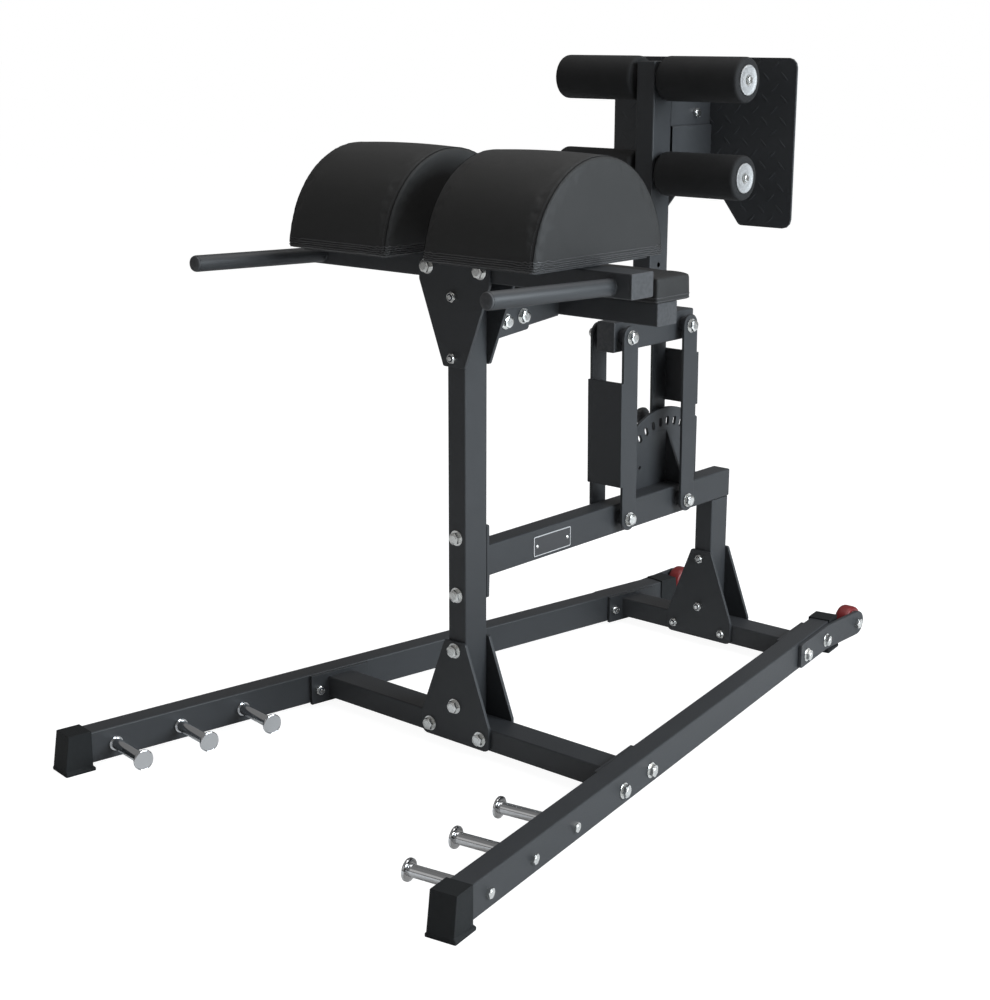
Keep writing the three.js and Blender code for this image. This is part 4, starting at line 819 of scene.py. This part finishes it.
# Linkage: two pairs of flat bars with a welded web swing on pivot bolts, and keep the foot
# carriage level. The sector plate beside the beam has a slot for each setting.
dressed(["front_link", "rear_link", "sector_plate"], powder, 0.0009)
pivots = {
    "pivot_bolt_front_lower": ("frame", 0.551, 0.4230),
    "pivot_bolt_rear_lower": ("frame", 0.789, 0.4230),
    "pivot_bolt_front_upper": ("carriage", 0.5445, 0.85495),
    "pivot_bolt_rear_upper": ("carriage", 0.7825, 0.85495),
}
link_face = 0.0493
for node, (body, y, z) in pivots.items():
    bolt = [turned([(0.0080, -0.0500), (0.0080, 0.0500)], 48)]
    bolt = placed(bolt, (0.0, tower_face + y, z), (1, 0, 0))
    bolt += placed(bolt_head(thick=0.003), (link_face, tower_face + y, z), (1, 0, 0), 5 * y)
    rings, end = [], (-link_face, tower_face + y, z)
    add_nut(bolt, rings, end, (-1, 0, 0), 3 * y, 0.0115, 0.0030, 0.0170)
    piece(f"zinc_{node}", body, [(zinc, bolt), (nylon, rings)], [node])


# Pop-pin: a spring plunger in a threaded housing on the rear link, pulled out by a ribbed
# knob, that drops into the sector plate's slots.
pin_low, pin_high = np.array(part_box("pop_pin_plunger"))
pin_axis = (pin_low + pin_high)[1:] / 2
barrel = [(0.0140, 0.0), (0.0140, 0.0105), (0.0133, 0.0115), (0.0092, 0.0115), (0.0090, 0.0120),
          (0.0090, 0.0262), (0.0083, 0.0270), (0.0054, 0.0270), (0.0054, 0.0)]
housing = placed([turned(barrel, 64, True)], (-link_face, *pin_axis), (-1, 0, 0))
piece("pin_housing", "rear_link", [(zinc, housing)], ["pop_pin_housing"])
turn = np.linspace(0.0, 2.0 * np.pi, 96, endpoint=False)
knob_rows = [(0.0100, 0.0), (0.0130, 0.0010), (0.0190, 0.0030), (0.0222, 0.0070), (0.0225, 0.0110),
             (0.0220, 0.0160), (0.0195, 0.0205), (0.0140, 0.0226), (0.0060, 0.0230)]
radius, height = np.array(knob_rows).T[:, :, None]
ribbed = radius * (1.0 - 0.035 * (radius > 0.018) * (0.5 - 0.5 * np.cos(10 * turn[None])))
knob = np.stack((ribbed * np.cos(turn), ribbed * np.sin(turn), height + 0.0 * turn[None]), -1)
knob = placed([skin(knob)], (-0.0903, *pin_axis), (-1, 0, 0))
pin = [(0.0042, -0.0907), (0.0050, -0.0900), (0.0050, -0.0350), (0.0036, -0.0336)]
pin = placed([turned(pin, 48)], (0.0, *pin_axis), (1, 0, 0))
coats = [(plastic, knob), (zinc, pin)]
piece("pin_and_knob", "pop_pin", coats, ["pop_pin_plunger"])


# Foot carriage: a short level beam on the links, closed by moulded plugs, with the post of the
# foot rollers welded on it.
dressed(["carriage_beam", "foot_post"], powder, 0.0008)
dressed(["carriage_cap_front", "carriage_cap_rear"], plastic, 0.0012)


# Footplate: 5.5 mm steel with rounded corners and a notch for the post, held by a bracket
# behind the post. Raised lozenges, laid crosswise in pairs, give the feet a grip.
dressed(["footplate_bracket"], powder, 0.0008)
dressed(["footplate"], powder, 0.0007)
plate_face = tower_face + 0.8690


def lozenges(centres, leans):
    """Raised almond shapes on the XZ plane: half width 3 mm times (1 - u^2)^0.6 along a length
    of 28 mm, height 0.9 mm times (1 - u^2)^0.35 (1 - v^2)^0.5, falling to the plate at the rim."""
    u = np.linspace(-0.97, 0.97, 9)[:, None]
    v = np.array((-1.0, -0.55, 0.0, 0.55, 1.0))[None]
    bulge = 1.0 - u**2
    along, across = 0.0140 * u + 0.0 * v, 0.0030 * bulge**0.6 * v
    rise = 0.0009 * bulge**0.35 * (1.0 - v**2) ** 0.5
    top = np.stack((along, across, rise), -1)
    low = np.stack((along, across, -0.0004 + 0.0 * rise), -1)[:, ::-1]
    local = np.concatenate((top, low), 1)
    shapes = []
    for (x, z), lean in zip(centres, leans):
        c, s = np.cos(lean), np.sin(lean)
        px = x + c * local[..., 0] - s * local[..., 1]
        pz = z + s * local[..., 0] + c * local[..., 1]
        shapes.append(skin(np.stack((px, plate_face - local[..., 2], pz), -1)))
    return shapes


column, row = np.meshgrid(np.arange(-9, 10), np.arange(0, 15), indexing="ij")
x, z = 0.0250 * column.ravel(), 1.1090 + 0.0250 * row.ravel()
lean = np.where(column.ravel() % 2 == 0, np.pi / 4, -np.pi / 4)
slope = np.where(z < 1.147, 0.116 - 0.786 * (z - 1.091), 0.072 - 0.9 * (z - 1.147))
clear_notch = (np.abs(x) > slope + 0.016) | (z > 1.192)
keep = ((column + row).ravel() % 2 == 0) & clear_notch & (z < 1.463)
grip = lozenges(np.stack((x, z), -1)[keep], lean[keep])
piece("footplate_tread", "carriage", [(powder, grip)])
bracket_hole = (tower_face + 0.810, 1.350)
bracket_bolt = placed(bolt_head(0.0095, 0.0010, 0.0), (half_tube, *bracket_hole), (1, 0, 0), 0.2)
rings = []
add_nut(bracket_bolt, rings, (-half_tube, *bracket_hole), (-1, 0, 0), 0.0)
piece("bracket_bolt", "carriage", [(zinc, bracket_bolt), (nylon, rings)])


# Foot rollers: thick closed-cell foam sleeves that turn on two steel bars through the post. A
# zinc disc and a bolt keep each one on.
foam = Finish("closed_cell_foam", specular=0.3)
bubbles = foam.grain(1300.0, 3.0)
pressed = foam.grain(22.0, 2.0)
foam.drive("Base Color", foam.between(pressed, (0.011, 0.011, 0.0115), (0.018, 0.018, 0.0185)))
foam.drive("Roughness", 0.68 + bubbles * 0.2)
foam.relief(bubbles, 0.00035)
plated = Finish("dull_plating", metal=1.0)
flakes = plated.cells(300.0, "F1")
plated.drive("Base Color", plated.between(flakes, (0.44, 0.44, 0.44), (0.60, 0.60, 0.60)))
plated.drive("Roughness", 0.46 + flakes * 0.1)
sleeve = [
    (0.0146, 0.0020), (0.0150, 0.0018), (0.0320, 0.0014), (0.0350, 0.0004), (0.0400, 0.0),
    (0.0455, 0.0006), (0.0482, 0.0022), (0.0496, 0.0052), (0.0500, 0.0100), (0.0500, 0.2050),
    (0.0496, 0.2098), (0.0482, 0.2128), (0.0455, 0.2144), (0.0400, 0.2150), (0.0350, 0.2146),
    (0.0320, 0.2136), (0.0150, 0.2132), (0.0146, 0.2130),
]
disc = [
    (0.0290, -0.0005), (0.0322, 0.0), (0.0330, 0.0008), (0.0330, 0.0031), (0.0322, 0.0040),
    (0.0290, 0.0041), (0.0270, 0.0036), (0.0180, 0.0034), (0.0120, 0.0034), (0.0120, -0.0005),
]
sleeve_seat, disc_seat, end_seat = 0.0370, 0.2504, 0.2536
for level, height in (("lower", 1.218), ("upper", 1.430)):
    axis = (tower_face + 0.677, height)
    bar = placed([turned([(0.0140, -0.2506), (0.0140, 0.2506)], 64)], (0.0, *axis), (1, 0, 0))
    discs = []
    for word, side in (("right", 1), ("left", -1)):
        node = f"roller_{level}_{word}"
        tube = placed([turned(sleeve, 96, True)], (side * sleeve_seat, *axis), (side, 0, 0))
        roller = piece(f"foam_{node}", node, [(foam, tube)], [node], 50)
        discs += placed([turned(disc, 64, True)], (side * disc_seat, *axis), (side, 0, 0))
        end = (side * end_seat, *axis)
        bar += placed(bolt_head(0.0070, 0.0, 0.0), end, (side, 0, 0), 0.7 * height)
    coats = [(zinc, bar), (plated, discs)]
    piece(f"zinc_axle_{level}", "carriage", coats, [f"roller_axle_{level}"])
